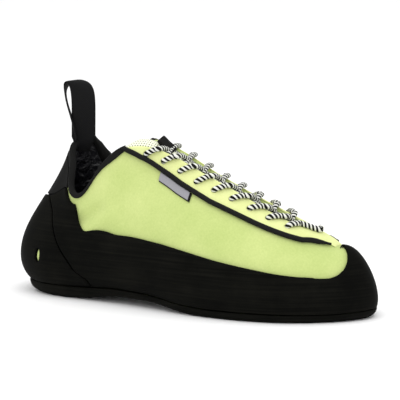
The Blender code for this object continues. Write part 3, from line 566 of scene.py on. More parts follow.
def skin_mesh(
    name: str,
    outer: Array,
    inner: Array,
    closed_ring: bool = False,
    crest: Optional[Array] = None,
    lined: bool = False,
    patch: Optional[Array] = None,
) -> Mesh:
    """Closed skin between an outer and an inner grid of the same columns.

    The rows run up the outer grid, over the top edge and down the inner grid. An open skin gets a face strip at each
    end of its columns. Where the two sides of the shoe meet on the crest, the top edge has no strip.

    Args:
        name: Name of the mesh.
        outer: Outer grid, rows by columns.
        inner: Inner grid, rows by columns, with as many rows.
        closed_ring: Whether the last column meets the first.
        crest: For each column, whether its top lies on the crest.
        lined: Whether the inner side takes the second material.
        patch: Outer faces that take the third material, rows by columns.

    Returns:
        The mesh.
    """
    points = np.concatenate([outer, inner[::-1]])
    girth = girth_uv(outer)
    uv = np.concatenate([girth, girth[::-1]]).reshape(-1, 2)
    rows, columns = points.shape[:2]
    ring = grid_quads(rows, columns, wrap_rows=True)
    row = np.repeat(np.arange(rows), columns - 1)
    column = np.tile(np.arange(columns - 1), rows)
    number = (row >= len(outer)).astype(int) if lined else np.zeros(len(ring), int)
    if patch is not None:
        number[(row < len(patch)) & patch[np.minimum(row, len(patch) - 1), column]] = 2
    if crest is not None:
        kept = ~((row == len(outer) - 1) & crest[column] & crest[column + 1])
        ring, number = ring[kept], number[kept]
    quads = [ring]
    finish_of = [number]
    if not closed_ring:
        index = np.arange(rows * columns).reshape(rows, columns)
        half = len(outer)
        facing = index[::-1]
        for end, flip in ((0, False), (columns - 1, True)):
            low, high = index[: half - 1, end], index[1:half, end]
            back_low, back_high = facing[: half - 1, end], facing[1:half, end]
            cap = np.stack([low, high, back_high, back_low], -1)
            quads.append(cap[:, ::-1] if flip else cap)
            finish_of.append(np.zeros(len(cap), int))
    return fill_mesh(name, points.reshape(-1, 3), np.concatenate(quads), uv, np.concatenate(finish_of))


def path_length(points: Array) -> Array:
    """Distance along a path at each of its points."""
    return np.concatenate([[0.0], np.cumsum(np.linalg.norm(np.diff(points, axis=0), axis=1))])


def path_through(points: Array, per_span: int) -> Array:
    """Smooth path through the points: a Catmull-Rom curve with rounded ends."""
    p = np.concatenate([2 * points[:1] - points[1:2], points, 2 * points[-1:] - points[-2:-1]])
    u = np.linspace(0.0, 1.0, per_span, endpoint=False)[None, :, None]
    p0, p1, p2, p3 = (p[i : len(p) - 3 + i][:, None, :] for i in range(4))
    bend, twist = 2 * p0 - 5 * p1 + 4 * p2 - p3, 3 * p1 - p0 - 3 * p2 + p3
    curve = 0.5 * (2 * p1 + (p2 - p0) * u + bend * u**2 + twist * u**3)
    return np.concatenate([curve.reshape(-1, 3), points[-1:]])


def tube_mesh(name: str, path: Array, radius: Array | float, squash: float = 1.0) -> Mesh:
    """Round tube carried along a path, closed by a fan at both ends.

    Args:
        name: Name of the mesh.
        path: Points along the middle.
        radius: Radius, or one for each point.
        squash: Height over width of its section.

    Returns:
        The mesh. Its pattern runs along the tube and round it, both in metres.
    """
    tangent = unit(np.gradient(path, axis=0))
    up = np.tile((0.0, 0.0, 1.0), (len(path), 1))
    across = np.cross(tangent, up)
    across /= np.maximum(np.linalg.norm(across, axis=1, keepdims=True), 1e-6)
    lift = np.cross(across, tangent)
    turn = np.linspace(0.0, 2 * math.pi, TUBE_SIDES + 1)[:, None, None]
    r = np.broadcast_to(np.asarray(radius, float), (len(path),))[None, :, None]
    body = path[None] + r * (np.cos(turn) * across[None] + squash * np.sin(turn) * lift[None])
    along = path_length(path)
    girth = turn[:, :, 0] * np.mean(radius)
    ends = np.broadcast_to(path[None], body.shape)
    grid = np.concatenate([ends[:, :1], body, ends[:, -1:]], 1)
    along = np.concatenate([along[:1], along, along[-1:]])
    uv = np.stack(np.broadcast_arrays(along[None, :], girth), -1)
    return fill_mesh(name, grid.reshape(-1, 3), grid_quads(*grid.shape[:2]), uv.reshape(-1, 2))


# Finishes


class Weave(Enum):
    """Cloth structures of the shoe."""

    SUEDE = "suede"
    WEBBING = "webbing"
    BRAID = "braid"
    MESH = "mesh"
    RUBBER = "rubber"


class Nodes:
    """Short calls that add shader nodes to one tree."""

    def __init__(self, tree: Tree) -> None:
        """Keeps the tree."""
        self.tree = tree

    def add(self, kind: str, inputs: Optional[dict] = None, **settings: object) -> bpy.types.Node:
        """One node.

        Args:
            kind: Node type without the ShaderNode prefix.
            inputs: Socket names or numbers, each with a value or an output socket to link.
            settings: Node properties.

        Returns:
            The node.
        """
        node = self.tree.nodes.new("ShaderNode" + kind)
        for key, value in settings.items():
            setattr(node, key, value)
        for key, value in (inputs or {}).items():
            if isinstance(value, Socket):
                self.tree.links.new(value, node.inputs[key])
            else:
                node.inputs[key].default_value = value
        return node

    def math(self, operation: str, *values: object) -> Socket:
        """Result of a Math node."""
        return self.add("Math", dict(enumerate(values)), operation=operation).outputs[0]

    def ramp(self, value: Socket, low: float, high: float, to_low: float = 0.0, to_high: float = 1.0) -> Socket:
        """Linear step of a value between two limits."""
        inputs = {"Value": value, "From Min": low, "From Max": high, "To Min": to_low, "To Max": to_high}
        return self.add("MapRange", inputs).outputs[0]

    def blend(self, first: Socket, much: float, second: Socket, more: float) -> Socket:
        """Sum of two values, each with its share."""
        return self.math("ADD", self.math("MULTIPLY", first, much), self.math("MULTIPLY", second, more))

    def mix(self, factor: object, first: object, second: object) -> Socket:
        """Colour between two colours."""
        return self.add("Mix", {0: factor, 6: first, 7: second}, data_type="RGBA").outputs[2]

    def noise(self, vector: Socket, scale: float, detail: float = 3.0, rough: float = 0.5) -> Socket:
        """Factor of a noise texture."""
        inputs = {"Vector": vector, "Scale": scale, "Detail": detail, "Roughness": rough}
        return self.add("TexNoise", inputs).outputs[0]


def new_group(name: str, inputs: dict[str, str], outputs: dict[str, str]) -> Tree:
    """Empty shader node group with named sockets."""
    tree = bpy.data.node_groups.new(name, "ShaderNodeTree")
    for label, kind in inputs.items():
        tree.interface.new_socket(label, in_out="INPUT", socket_type="NodeSocket" + kind)
    for label, kind in outputs.items():
        tree.interface.new_socket(label, in_out="OUTPUT", socket_type="NodeSocket" + kind)
    tree.nodes.new("NodeGroupInput")
    tree.nodes.new("NodeGroupOutput")
    return tree


def ends_of(tree: Tree) -> tuple[bpy.types.Node, bpy.types.Node]:
    """Input and output nodes of a group."""
    found = {node.bl_idname: node for node in tree.nodes}
    return found["NodeGroupInput"], found["NodeGroupOutput"]


def nap_group() -> Tree:
    """Nap of brushed cloth or leather: fine fibres over soft clouds."""
    tree = new_group("nap", {"Vector": "Vector", "Scale": "Float"}, {"Height": "Float", "Cloud": "Float"})
    start, end = ends_of(tree)
    n = Nodes(tree)
    fine = n.noise(start.outputs[0], start.outputs[1], 4.0, 0.65)
    speck = n.add("TexVoronoi", {"Vector": start.outputs[0], "Scale": start.outputs[1]}).outputs[0]
    tree.links.new(n.blend(fine, 0.75, speck, 0.25), end.inputs[0])
    tree.links.new(n.noise(start.outputs[0], NAP_CLOUDS, 3.0, 0.55), end.inputs[1])
    return tree


def thread_group() -> Tree:
    """Woven threads: two crossed waves on the pattern coordinates, whose sides change places like a plain weave."""
    tree = new_group("threads", {"Vector": "Vector", "Along": "Float", "Across": "Float"}, {"Height": "Float"})
    start, end = ends_of(tree)
    n = Nodes(tree)
    split = n.add("SeparateXYZ", {0: start.outputs[0]})
    waves = []
    for place, pitch in ((split.outputs[0], start.outputs[1]), (split.outputs[1], start.outputs[2])):
        turn = n.math("MULTIPLY", n.math("MULTIPLY", place, pitch), 2 * math.pi)
        waves.append(n.math("SINE", turn))
    height = n.math("ADD", 0.5, n.math("MULTIPLY", 0.5, n.math("MULTIPLY", *waves)))
    tree.links.new(height, end.inputs[0])
    return tree


def buffing_group() -> Tree:
    """Buffed rubber: long shallow lines along the shoe over a fine sandpaper grain."""
    tree = new_group("buffing", {"Vector": "Vector"}, {"Height": "Float", "Wear": "Float"})
    start, end = ends_of(tree)
    n = Nodes(tree)
    long = n.add("Mapping", {"Vector": start.outputs[0], "Scale": BUFF_LINES})
    lines = n.noise(long.outputs[0], 1.0, 2.0)
    grain = n.noise(start.outputs[0], BUFF_GRAIN, 2.0, 0.6)
    tree.links.new(n.blend(lines, 0.6, grain, 0.4), end.inputs[0])
    clouds = n.noise(start.outputs[0], BUFF_CLOUDS, 4.0, 0.6)
    tree.links.new(n.ramp(n.math("MULTIPLY", clouds, lines), 0.16, 0.42), end.inputs[1])
    return tree


@dataclass(frozen=True)
class Finish:
    """One finish of the shoe: its colours, gloss and surface structure."""

    name: str
    weave: Weave
    color: tuple[float, float, float]
    shade: tuple[float, float, float]
    roughness: float = 0.85
    sheen: float = 0.0
    specular: float = 0.5
    scale: float = 1500.0
    along: float = 900.0
    across: float = 900.0
    bump: float = 0.3
    depth: float = 0.0002
    crumple: float = 0.0


class Wardrobe:
    """Builds the shoe's materials from its finishes, with the shared node groups made once."""

    def __init__(self) -> None:
        """Makes the node groups."""
        self.groups = {"nap": nap_group(), "threads": thread_group(), "buffing": buffing_group()}

    def placed(self, n: Nodes, name: str, inputs: dict) -> bpy.types.Node:
        """A group node with its tree set before its inputs."""
        return n.add("Group", inputs, node_tree=self.groups[name])

    def make(self, finish: Finish) -> bpy.types.Material:
        """Material of a finish.

        Args:
            finish: Colours, gloss and structure.

        Returns:
            The material, with the Principled shader in it.
        """
        material = bpy.data.materials.new(finish.name)
        material.use_nodes = True
        n = Nodes(material.node_tree)
        shader = material.node_tree.nodes["Principled BSDF"]
        place = n.add("TexCoord")
        object_xyz, pattern = place.outputs["Object"], place.outputs["UV"]
        color, shade = (*finish.color, 1.0), (*finish.shade, 1.0)
        if finish.weave is Weave.RUBBER:
            work = self.placed(n, "buffing", {"Vector": object_xyz})
            tint = n.mix(work.outputs["Wear"], color, shade)
            rough = n.ramp(work.outputs["Wear"], 0.0, 1.0, finish.roughness, finish.roughness + 0.16)
            height = work.outputs["Height"]
        elif finish.weave is Weave.SUEDE:
            work = self.placed(n, "nap", {"Vector": object_xyz, "Scale": finish.scale})
            factor = n.blend(work.outputs["Cloud"], 0.6, work.outputs["Height"], 0.4)
            tint = n.mix(n.ramp(factor, 0.35, 0.68), shade, color)
            rough = n.ramp(work.outputs["Cloud"], 0.0, 1.0, finish.roughness, finish.roughness + 0.08)
            height = work.outputs["Height"]
        elif finish.weave is Weave.BRAID:
            tint, height = self._braid(n, pattern, color, shade)
            rough = n.ramp(height, 0.0, 1.0, finish.roughness + 0.1, finish.roughness)
        elif finish.weave is Weave.MESH:
            tint, height = self._holes(n, pattern, finish, color, shade)
            rough = n.ramp(height, 0.0, 1.0, 1.0, finish.roughness)
        else:
            work = self.placed(n, "threads", {"Vector": pattern, "Along": finish.along, "Across": finish.across})
            nap = self.placed(n, "nap", {"Vector": object_xyz, "Scale": finish.scale})
            worn = n.ramp(nap.outputs["Cloud"], 0.2, 0.8, 0.6, 1.0)
            factor = n.math("MULTIPLY", work.outputs["Height"], worn)
            tint = n.mix(factor, shade, color)
            rough = n.ramp(work.outputs["Height"], 0.0, 1.0, finish.roughness + 0.08, finish.roughness)
            height = work.outputs["Height"]
        bump = n.add("Bump", {"Strength": finish.bump, "Distance": finish.depth, "Height": height})
        if finish.crumple:
            folds = n.add("TexNoise", {"Vector": object_xyz, "Scale": FOLDS, "Detail": 3.0, "Distortion": 1.4})
            inputs = {"Strength": finish.crumple, "Distance": FOLD_DEPTH, "Height": folds.outputs[0]}
            crumple = n.add("Bump", inputs)
            n.tree.links.new(crumple.outputs[0], bump.inputs["Normal"])
        n.tree.links.new(tint, shader.inputs["Base Color"])
        n.tree.links.new(rough, shader.inputs["Roughness"])
        n.tree.links.new(bump.outputs[0], shader.inputs["Normal"])
        shader.inputs["Sheen Weight"].default_value = finish.sheen
        shader.inputs["Sheen Roughness"].default_value = 0.5
        shader.inputs["Specular IOR Level"].default_value = finish.specular
        return material

    def _braid(self, n: Nodes, pattern: Socket, light: tuple, dark: tuple) -> tuple:
        """Striped round braid: bands that wind round the cord, with a whole number of them in its girth."""
        split = n.add("SeparateXYZ", {0: pattern})
        u, v = split.outputs[0], split.outputs[1]
        peak = n.math("PINGPONG", v, LACE_GIRTH / 4)
        place = n.math("ADD", u, n.math("MULTIPLY", v, STRIPE_STARTS * STRIPE_PITCH / LACE_GIRTH))
        wave = n.math("SINE", n.math("MULTIPLY", place, 2 * math.pi / STRIPE_PITCH))
        mask = n.ramp(wave, 0.0, 0.3)
        strands = []
        for way in ("ADD", "SUBTRACT"):
            turn = n.math("MULTIPLY", n.math(way, u, peak), 2 * math.pi / STRAND_PITCH)
            strands.append(n.math("SINE", turn))
        height = n.ramp(n.math("MULTIPLY", *strands), -1.0, 1.0)
        return n.mix(mask, dark, light), height

    def _holes(self, n: Nodes, pattern: Socket, finish: Finish, cloth: tuple, hole: tuple) -> tuple:
        """Perforated cloth: round dark holes in a staggered grid."""
        stretched = n.add("Mapping", {"Vector": pattern, "Scale": (finish.along, finish.across, 1.0)})
        inputs = {"Vector": stretched.outputs[0], "Scale": 1.0, "Randomness": 0.0}
        cells = n.add("TexVoronoi", inputs, voronoi_dimensions="2D")
        mask = n.ramp(cells.outputs[0], *HOLE_EDGE)
        return n.mix(mask, hole, cloth), mask


# Finishes of the shoe
SOLE_RUBBER = Finish(
    "sole_rubber", Weave.RUBBER, (0.0022, 0.0023, 0.0017), (0.0072, 0.0070, 0.0055), 0.6, specular=0.035,
)
BAND_RUBBER = Finish(
    "band_rubber", Weave.RUBBER, (0.0018, 0.0019, 0.0014), (0.0066, 0.0065, 0.0050), 0.6, specular=0.035,
)
LIME = Finish(
    "lime_cloth", Weave.SUEDE, (0.59, 0.67, 0.26), (0.46, 0.56, 0.185),
    0.9, sheen=0.15, specular=0.1, scale=760, bump=0.3,
)
# The band's colour is lighter than the lime shell's, partly as painted top light: it repeats the lightness the band
# shows where it faces up.
BAND_WITH_PAINTED_TOP_LIGHT = Finish(
    "lime_band_cloth_painted_top_light", Weave.SUEDE, (0.76, 0.81, 0.37), (0.68, 0.73, 0.30),
    0.9, sheen=0.15, specular=0.1, scale=900, bump=0.2,
)
LINING = Finish(
    "black_lining", Weave.WEBBING, (0.020, 0.020, 0.026), (0.004, 0.004, 0.005),
    0.34, specular=0.6, along=1100, across=1100, crumple=0.9,
)
BLACK_MESH = Finish(
    "black_panel", Weave.WEBBING, (0.012, 0.012, 0.011), (0.003, 0.003, 0.003),
    0.8, specular=0.12, along=900, across=900,
)
PIPING = Finish(
    "black_piping", Weave.WEBBING, (0.010, 0.010, 0.009), (0.004, 0.004, 0.004),
    0.7, specular=0.15, along=1400, across=1400,
)
TAPE = Finish(
    "black_tape", Weave.WEBBING, (0.009, 0.009, 0.008), (0.003, 0.003, 0.003),
    0.75, specular=0.15, along=1300, across=1300,
)
WEBBING = Finish(
    "loop_webbing", Weave.WEBBING, (0.012, 0.012, 0.013), (0.002, 0.002, 0.002),
    0.8, specular=0.12, along=620, across=900, bump=0.5,
)
TAB = Finish("tab_webbing", Weave.SUEDE, (0.010, 0.010, 0.009), (0.006, 0.006, 0.006), 0.85, specular=0.12)
LABEL = Finish(
    "label_cloth", Weave.WEBBING, (0.40, 0.39, 0.42), (0.24, 0.24, 0.26),
    0.85, specular=0.1, along=1500, across=1500,
)
TONGUE = Finish(
    "pale_mesh", Weave.MESH, (0.90, 0.92, 0.72), (0.05, 0.05, 0.04), 0.9, specular=0.1, along=560, across=560,
)
SOCK = Finish("black_sock", Weave.SUEDE, (0.010, 0.010, 0.012), (0.004, 0.004, 0.005), 0.9, specular=0.1)
LACE = Finish(
    "striped_lace", Weave.BRAID, (0.80, 0.81, 0.75), (0.004, 0.004, 0.004), 0.8, specular=0.15, bump=0.6,
)

# Pieces


def quarter_round(steps: int = 5) -> Array:
    """Rows of a rounded edge: share of the radius left to the edge, share of the radius taken off the wall."""
    turn = np.linspace(0.0, math.pi / 2, steps)
    return np.stack([1 - np.sin(turn), 1 - np.cos(turn)], 1)


def crest_columns(last: Last, a: Array) -> Array:
    """Whether the columns meet their opposite ones on the crest."""
    return last.ring("rim", a) <= CLOSED_RIM


@dataclass
class Sole:
    """Outsole and insole, flat plates whose outline follows the last."""

    last: Last
    wardrobe: Wardrobe
    columns: int = 321
    roundings: tuple[tuple[float, float], ...] = (
        (0.0, 0.010),
        (0.16, 0.007),
        (0.30, 0.003),
        (0.85, 0.003),
        (1.0, 0.005),
    )
    tread: float = 0.96
    insole_wall: float = 0.0025
    sock: tuple[tuple[float, float, float], ...] = (
        (0.0, 0.0, 0.0),
        (1.0, 0.0, 0.0),
        (1.0, 0.0, 0.8),
        (1.0, -0.0006, 1.0),
        (0.8, 0.0, 0.94),
        (0.0, 0.0, 0.9),
    )

    def plan(self, a: Array, r: Array) -> Array:
        """Plan point at the distance r from the axis toward the ring at a."""
        axis = np.stack([self.last.ring("axis_x", a), self.last.ring("axis_y", a)], -1)
        out = unit(np.stack([self.last.ring("x", a), self.last.ring("y", a)], -1) - axis)
        return axis + out * np.asarray(r)[..., None] - np.array((BOX_CENTRE * LENGTH, 0.0))

    def plate(self, name: str, far: Array, levels: Sequence[tuple[float, float, Array]]) -> Mesh:
        """Closed plate under the foot.

        Args:
            name: Name of the mesh.
            far: Distance of the outline from the axis, for each column.
            levels: Share of the distance, extra length and height of each row, from below to above.

        Returns:
            The mesh.
        """
        a = np.linspace(0.0, 2.0, self.columns)
        rows = []
        for share, extra, height in levels:
            rows.append(np.concatenate([self.plan(a, far * share + extra), height[:, None]], 1))
        grid = np.array(rows)
        uv = grid[..., :2].reshape(-1, 2)
        return fill_mesh(name, grid.reshape(-1, 3), grid_quads(*grid.shape[:2]), uv)

    def build(self) -> None:
        """Outsole with a rounded lower edge, and the sock that shows inside the collar."""
        last = self.last
        a = np.linspace(0.0, 2.0, self.columns)
        foot = last.surface(a, last.ring("rubber_foot", a), RUBBER_GAP + RUBBER_WALL, creased=False)
        axis_x, axis_y = last.ring("axis_x", a), last.ring("axis_y", a)
        far = np.hypot(foot[:, 0] + BOX_CENTRE * LENGTH - axis_x, foot[:, 1] - axis_y)
        low, thick = last.ring("lift", a), last.ring("sole", a)
        levels = [(share, 0.0, low) for share in (0.0, 0.4, 0.7, 0.86)]
        turn = np.linspace(0.0, math.pi / 2, 9)
        edge = from_table(half_place(a), self.roundings)
        levels += [(1.0, -edge * (1 - math.sin(x)), low + thick * self.tread * (1 - math.cos(x))) for x in turn]
        levels += [(1.0, -GAP, low + thick)]
        levels += [(share, 0.0, low + thick) for share in (0.6, 0.0)]
        mesh = self.plate("outsole_rubber", far, levels)
        put(mesh, [self.wardrobe.make(SOLE_RUBBER)], "rubber", "outsole")
        inside = np.hypot(last.ring("x", a) - axis_x, last.ring("y", a) - axis_y)
        inside = inside * last.ring("foot", a) - UPPER_WALL
        floor = low + thick + GAP * 2
        levels = [(share, extra, floor + self.insole_wall * up) for share, extra, up in self.sock]
        mesh = self.plate("insole_sock", inside, levels)
        put(mesh, [self.wardrobe.make(SOCK)], "insole_board", "insole")


@dataclass
class Rubber:
    """The sling band with the toe cap, and the heel cup with its windows."""

    last: Last
    wardrobe: Wardrobe
    turn: float = 0.3
    edge: float = 0.0011
    window_length: float = 0.0094
    window_width: float = 0.0042
    windows: tuple[tuple[float, float], ...] = ((0.1425, 0.28), (-0.1425, 0.28), (0.050, 0.63), (-0.050, 0.63))

    def seam(self, v: Array) -> Array:
        """How far round the half ring the heel cup reaches at a share of the rubber's height."""
        return from_table(v, HEEL_SEAM)

    def faces(self, v: Array, a: Array) -> tuple[Array, Array]:
        """Outer and inner face, with the upper edge rounded over.

        Args:
            v: Shares of the rubber's height, one for each row.
            a: Places of the columns in each row, or one row for all.

        Returns:
            Outer and inner grid.
        """
        last = self.last
        a = np.broadcast_to(a, (len(v), a.shape[-1]))
        top = last.cap_top(a)
        edge = self.edge * ramp(top, 1.0, 0.98)
        low = last.ring("rubber_foot", a)
        level = v[:, None]
        high = last.share_moved(a, top, -edge)
        under = low + (UNDER_SHARE - low) * level / self.turn
        over = UNDER_SHARE + (high - UNDER_SHARE) * (level - self.turn) / (1 - self.turn)
        t = np.where(level < self.turn, under, over)
        full = RUBBER_GAP + RUBBER_WALL
        outer = [last.surface(a, t, full, creased=False)]
        inner = [last.surface(a, t, RUBBER_GAP, creased=False)]
        a_top, top_row, edge_row = a[-1:], top[-1:], edge[-1:]
        for left, taken in quarter_round()[1:]:
            share = last.share_moved(a_top, top_row, -edge_row * left)
            outer.append(last.surface(a_top, share, full - edge_row * taken, creased=False))
            inner.append(last.surface(a_top, share, RUBBER_GAP, creased=False))
        return np.concatenate(outer), np.concatenate(inner)

    def build(self) -> None:
        """Band and cup."""
        v = np.concatenate([np.linspace(0.0, self.turn, 9), np.linspace(self.turn, 1.0, 25)[1:]])
        start = self.seam(v) + GAP * 2 / LENGTH
        half = np.linspace(0.0, 1.0, 231)
        lateral = start[:, None] + (1 - start[:, None]) * half[None, :]
        a = np.concatenate([lateral, 2.0 - lateral[:, -2::-1]], 1)
        outer, inner = self.faces(v, a)
        crest = self.last.cap_top(a[-1]) >= 0.9995
        mesh = skin_mesh("sling_rand", outer, inner, crest=crest & crest_columns(self.last, a[-1]))
        rubber = self.wardrobe.make(BAND_RUBBER)
        put(mesh, [rubber], "rubber", "rand")
        reach = self.seam(v) - GAP * 3 / LENGTH
        a = reach[:, None] * np.linspace(-1.0, 1.0, 61)[None, :]
        outer, inner = self.faces(v, a)
        cup = put(skin_mesh("heel_cup_rubber", outer, inner), [rubber], "rubber", "heel_cup")
        frames = [(a, t, self.window_width / 2, self.window_length / 2) for a, t in self.window_places()]
        punch(cup, pegs_mesh(self.last, "window_pegs", frames, 24))

    def window_places(self) -> list[tuple[float, float]]:
        """Places a and t of the middles of the cup's windows."""
        return [(a, height * float(self.last.rubber_top(np.array(a)))) for a, height in self.windows]


def pegs_mesh(last: Last, name: str, frames: Sequence[tuple[float, ...]], steps: int) -> Mesh:
    """Upright pegs through the surface.

    Args:
        last: The shoe's surface.
        name: Name of the mesh.
        frames: For each peg its place a and t, half width and half height.
        steps: Sides of a peg.

    Returns:
        The mesh, each peg closed.
    """
    work = bmesh.new()
    for a, t, half_width, half_height in frames:
        turn = Vector(last.normals(a, t)).to_track_quat("Z", "Y").to_matrix().to_4x4()
        turn.translation = Vector(last.surface(a, t, 0.0))
        turn.col[0] *= half_width
        turn.col[1] *= half_height
        size = {"segments": steps, "radius1": 1.0, "radius2": 1.0, "depth": PEG_LENGTH}
        bmesh.ops.create_cone(work, cap_ends=True, matrix=turn, **size)
    mesh = bpy.data.meshes.new(name)
    work.to_mesh(mesh)
    work.free()
    return mesh


def punch(piece: bpy.types.Object, pegs: Mesh) -> None:
    """Cuts pegs out of a piece, and keeps the result as its own mesh."""
    cutter = bpy.data.objects.new("cutter", pegs)
    bpy.context.scene.collection.objects.link(cutter)
    hole = piece.modifiers.new("holes", "BOOLEAN")
    hole.operation, hole.solver, hole.object = "DIFFERENCE", "EXACT", cutter
    bpy.context.view_layer.update()
    done = bpy.data.meshes.new_from_object(piece.evaluated_get(bpy.context.evaluated_depsgraph_get()))
    piece.modifiers.clear()
    done.name = piece.name
    piece.data = done
    bpy.data.objects.remove(cutter, do_unlink=True)


@dataclass
class Upper:
    """The lime shell with its lining, heel collar, eyestay, piping, binding and label."""

    last: Last
    wardrobe: Wardrobe
    rubber: Rubber
    rows: int = 46
    columns: int = 361
    eyelet_rows: int = 9
    eyelet_radius: float = 0.0021
    first_eyelet: float = 0.102
    last_eyelet: float = 0.201
    piping_radius: float = 0.0017
    medial_drop: float = 0.0080
    medial_short: float = 0.02
    padding: float = 0.0042
    throat_end: tuple[float, float] = (0.838, 0.852)
    eyestay_tip: float = 0.229
    eyestay_rim: float = 0.0007
    panel_reach: float = 0.150
    panel_wall: float = 0.0010
    window_clearance: float = 0.0003
    window_bulge: float = 0.0011
    label_from: float = 0.4485
    label_to: float = 0.5300
    label_height: float = 0.0056
    binding_depth: float = 0.0042
    binding_wall: float = 0.0010
    binding_swell: float = 0.45
    binding_crown: float = 0.8
    binding_lift: float = 0.0004
    lining_pad: float = 0.0012
    lining_front: float = 0.36
    lining_low: tuple[float, float] = (0.35, 0.55)
    lining_high: tuple[float, float] = (0.985, 0.925)
    wrinkle: float = 0.35
    seam_dark: float = 0.02
    seam_end: float = 0.31

    def eyelets(self) -> Array:
        """Places of the eyelets on the lateral half."""
        return self.last.place_of(np.linspace(self.first_eyelet, self.last_eyelet, self.eyelet_rows) / LENGTH)

    def eyelet_share(self, a: Array, below: float = 0.0) -> Array:
        """Column share of the row of eyelets at a, or a little below it."""
        places = self.eyelets()
        way = (half_place(a) - places[0]) / (places[-1] - places[0])
        reach = from_table(way, EYELET_EDGES) + below
        return np.array([float(self.last.share_below_rim(x, d)[0]) for x, d in zip(np.atleast_1d(a), reach)])

    def eyelet_pegs(self) -> Mesh:
        """Pegs through all the eyelets of both sides."""
        frames = []
        for medial in (False, True):
            a = side(self.eyelets(), medial)
            for place, share in zip(a, self.eyelet_share(a)):
                frames.append((float(place), float(share), self.eyelet_radius, self.eyelet_radius))
        return pegs_mesh(self.last, "eyelet_pegs", frames, 16)

    def build_shell(self) -> None:
        """The hollow upper. Its inside is the dark lining, padded and wrinkled behind the ankle."""
        last = self.last
        a = np.linspace(0.0, 2.0, self.columns)[None, :]
        under, over = np.linspace(0.0, UNDER_SHARE, 8), np.linspace(UNDER_SHARE, 1.0, self.rows)
        t = np.concatenate([under, over[1:]])[:, None]
        outer = last.surface(a, t)
        half = half_place(a)
        ankle = last.place_of(self.lining_front)
        near = ramp(half, ankle, ankle - 0.05)
        band = ramp(t, *self.lining_low) * ramp(t, *self.lining_high)
        wrinkle = 1.0 + self.wrinkle * np.sin(40 * half + 9 * t) * np.sin(23 * t + 14 * half)
        inner = last.surface(a, t, -UPPER_WALL - self.lining_pad * near * band * wrinkle)
        crest = crest_columns(last, a[0])
        middle = (inner[-1] + inner[-1, ::-1]) / 2
        inner[-1, crest] = middle[crest]
        patch = self.dark_patch(a[0], t[:, 0])
        mesh = skin_mesh("upper_shell", outer, inner, True, crest, lined=True, patch=patch)
        finishes = [self.wardrobe.make(LIME), self.wardrobe.make(LINING), self.wardrobe.make(SOCK)]
        shell = put(mesh, finishes, "lime_fabric", "upper")
        punch(shell, self.eyelet_pegs())

    def dark_patch(self, a: Array, t: Array) -> Array:
        """Where the shell is dark: under the heel panel, and under the seam between heel cup and sling band."""
        half = np.minimum(a[:-1], 2.0 - a[1:])[None, :]
        top = self.last.rubber_top(half)
        v = self.rubber.turn + (t[:, None] - UNDER_SHARE) / (top - UNDER_SHARE) * (1 - self.rubber.turn)
        panel = (half < self.last.place_of(self.panel_reach) * 0.9) & (v > 0.97)
        seam = (np.abs(half - self.rubber.seam(v)) < self.seam_dark) & (v < 0.985) & (half < self.seam_end)
        return panel | seam

    def build_window_cloth(self) -> None:
        """Cloth that bulges a little into the heel cup's windows."""
        turn = np.linspace(0.0, 2 * math.pi, 25)[None, :]
        reach = np.linspace(0.04, 1.0, 7)[:, None]
        last, rubber = self.last, self.rubber
        half_width = rubber.window_width / 2 - self.window_clearance
        half_length = rubber.window_length / 2 - self.window_clearance
        finish = self.wardrobe.make(LIME)
        for number, (around, share) in enumerate(rubber.window_places()):
            here = last.surface(around, share)
            wide = np.linalg.norm(last.surface(around + STEP_A, share) - here) / STEP_A
            tall = np.linalg.norm(last.surface(around, share + STEP_A) - here) / STEP_A
            a = around + np.cos(turn) * reach * half_width / wide
            t = share + np.sin(turn) * reach * half_length / tall
            bulge = RUBBER_GAP + self.window_bulge * (1 - reach**2)
            mesh = skin_mesh(f"window_cloth_{number}", last.surface(a, t, bulge), last.surface(a, t, 0.0001))
            put(mesh, [finish], "lime_fabric")

    def build_heel_collar(self) -> None:
        """Black panel over the heel, between the rubber and the collar."""
        last = self.last
        reach = last.place_of(self.panel_reach)
        a = np.linspace(-reach, reach, 91)[None, :]
        low = last.share_moved(a, last.rubber_top(a), GAP * 3)
        high = last.share_below_rim(a[0], self.binding_depth + GAP * 2)[None, :]
        v = np.linspace(0.0, 1.0, 16)[:, None]
        t = low + (high - low) * v
        base = GAP * 2
        mesh = skin_mesh("heel_panel", last.surface(a, t, base + self.panel_wall), last.surface(a, t, base))
        put(mesh, [self.wardrobe.make(BLACK_MESH)], "black_webbing", "heel_collar")

    def piping_line(self, half: Array, medial: bool) -> Array:
        """Share of the column at which the piping runs. Toward the toe the inner side's lies a little lower."""
        share = self.last.piping_share(half)
        drop = self.medial_drop * ramp(half, *self.last.place_of((0.66, 0.80))) * medial
        return self.last.share_moved(side(half, medial), share, -drop)

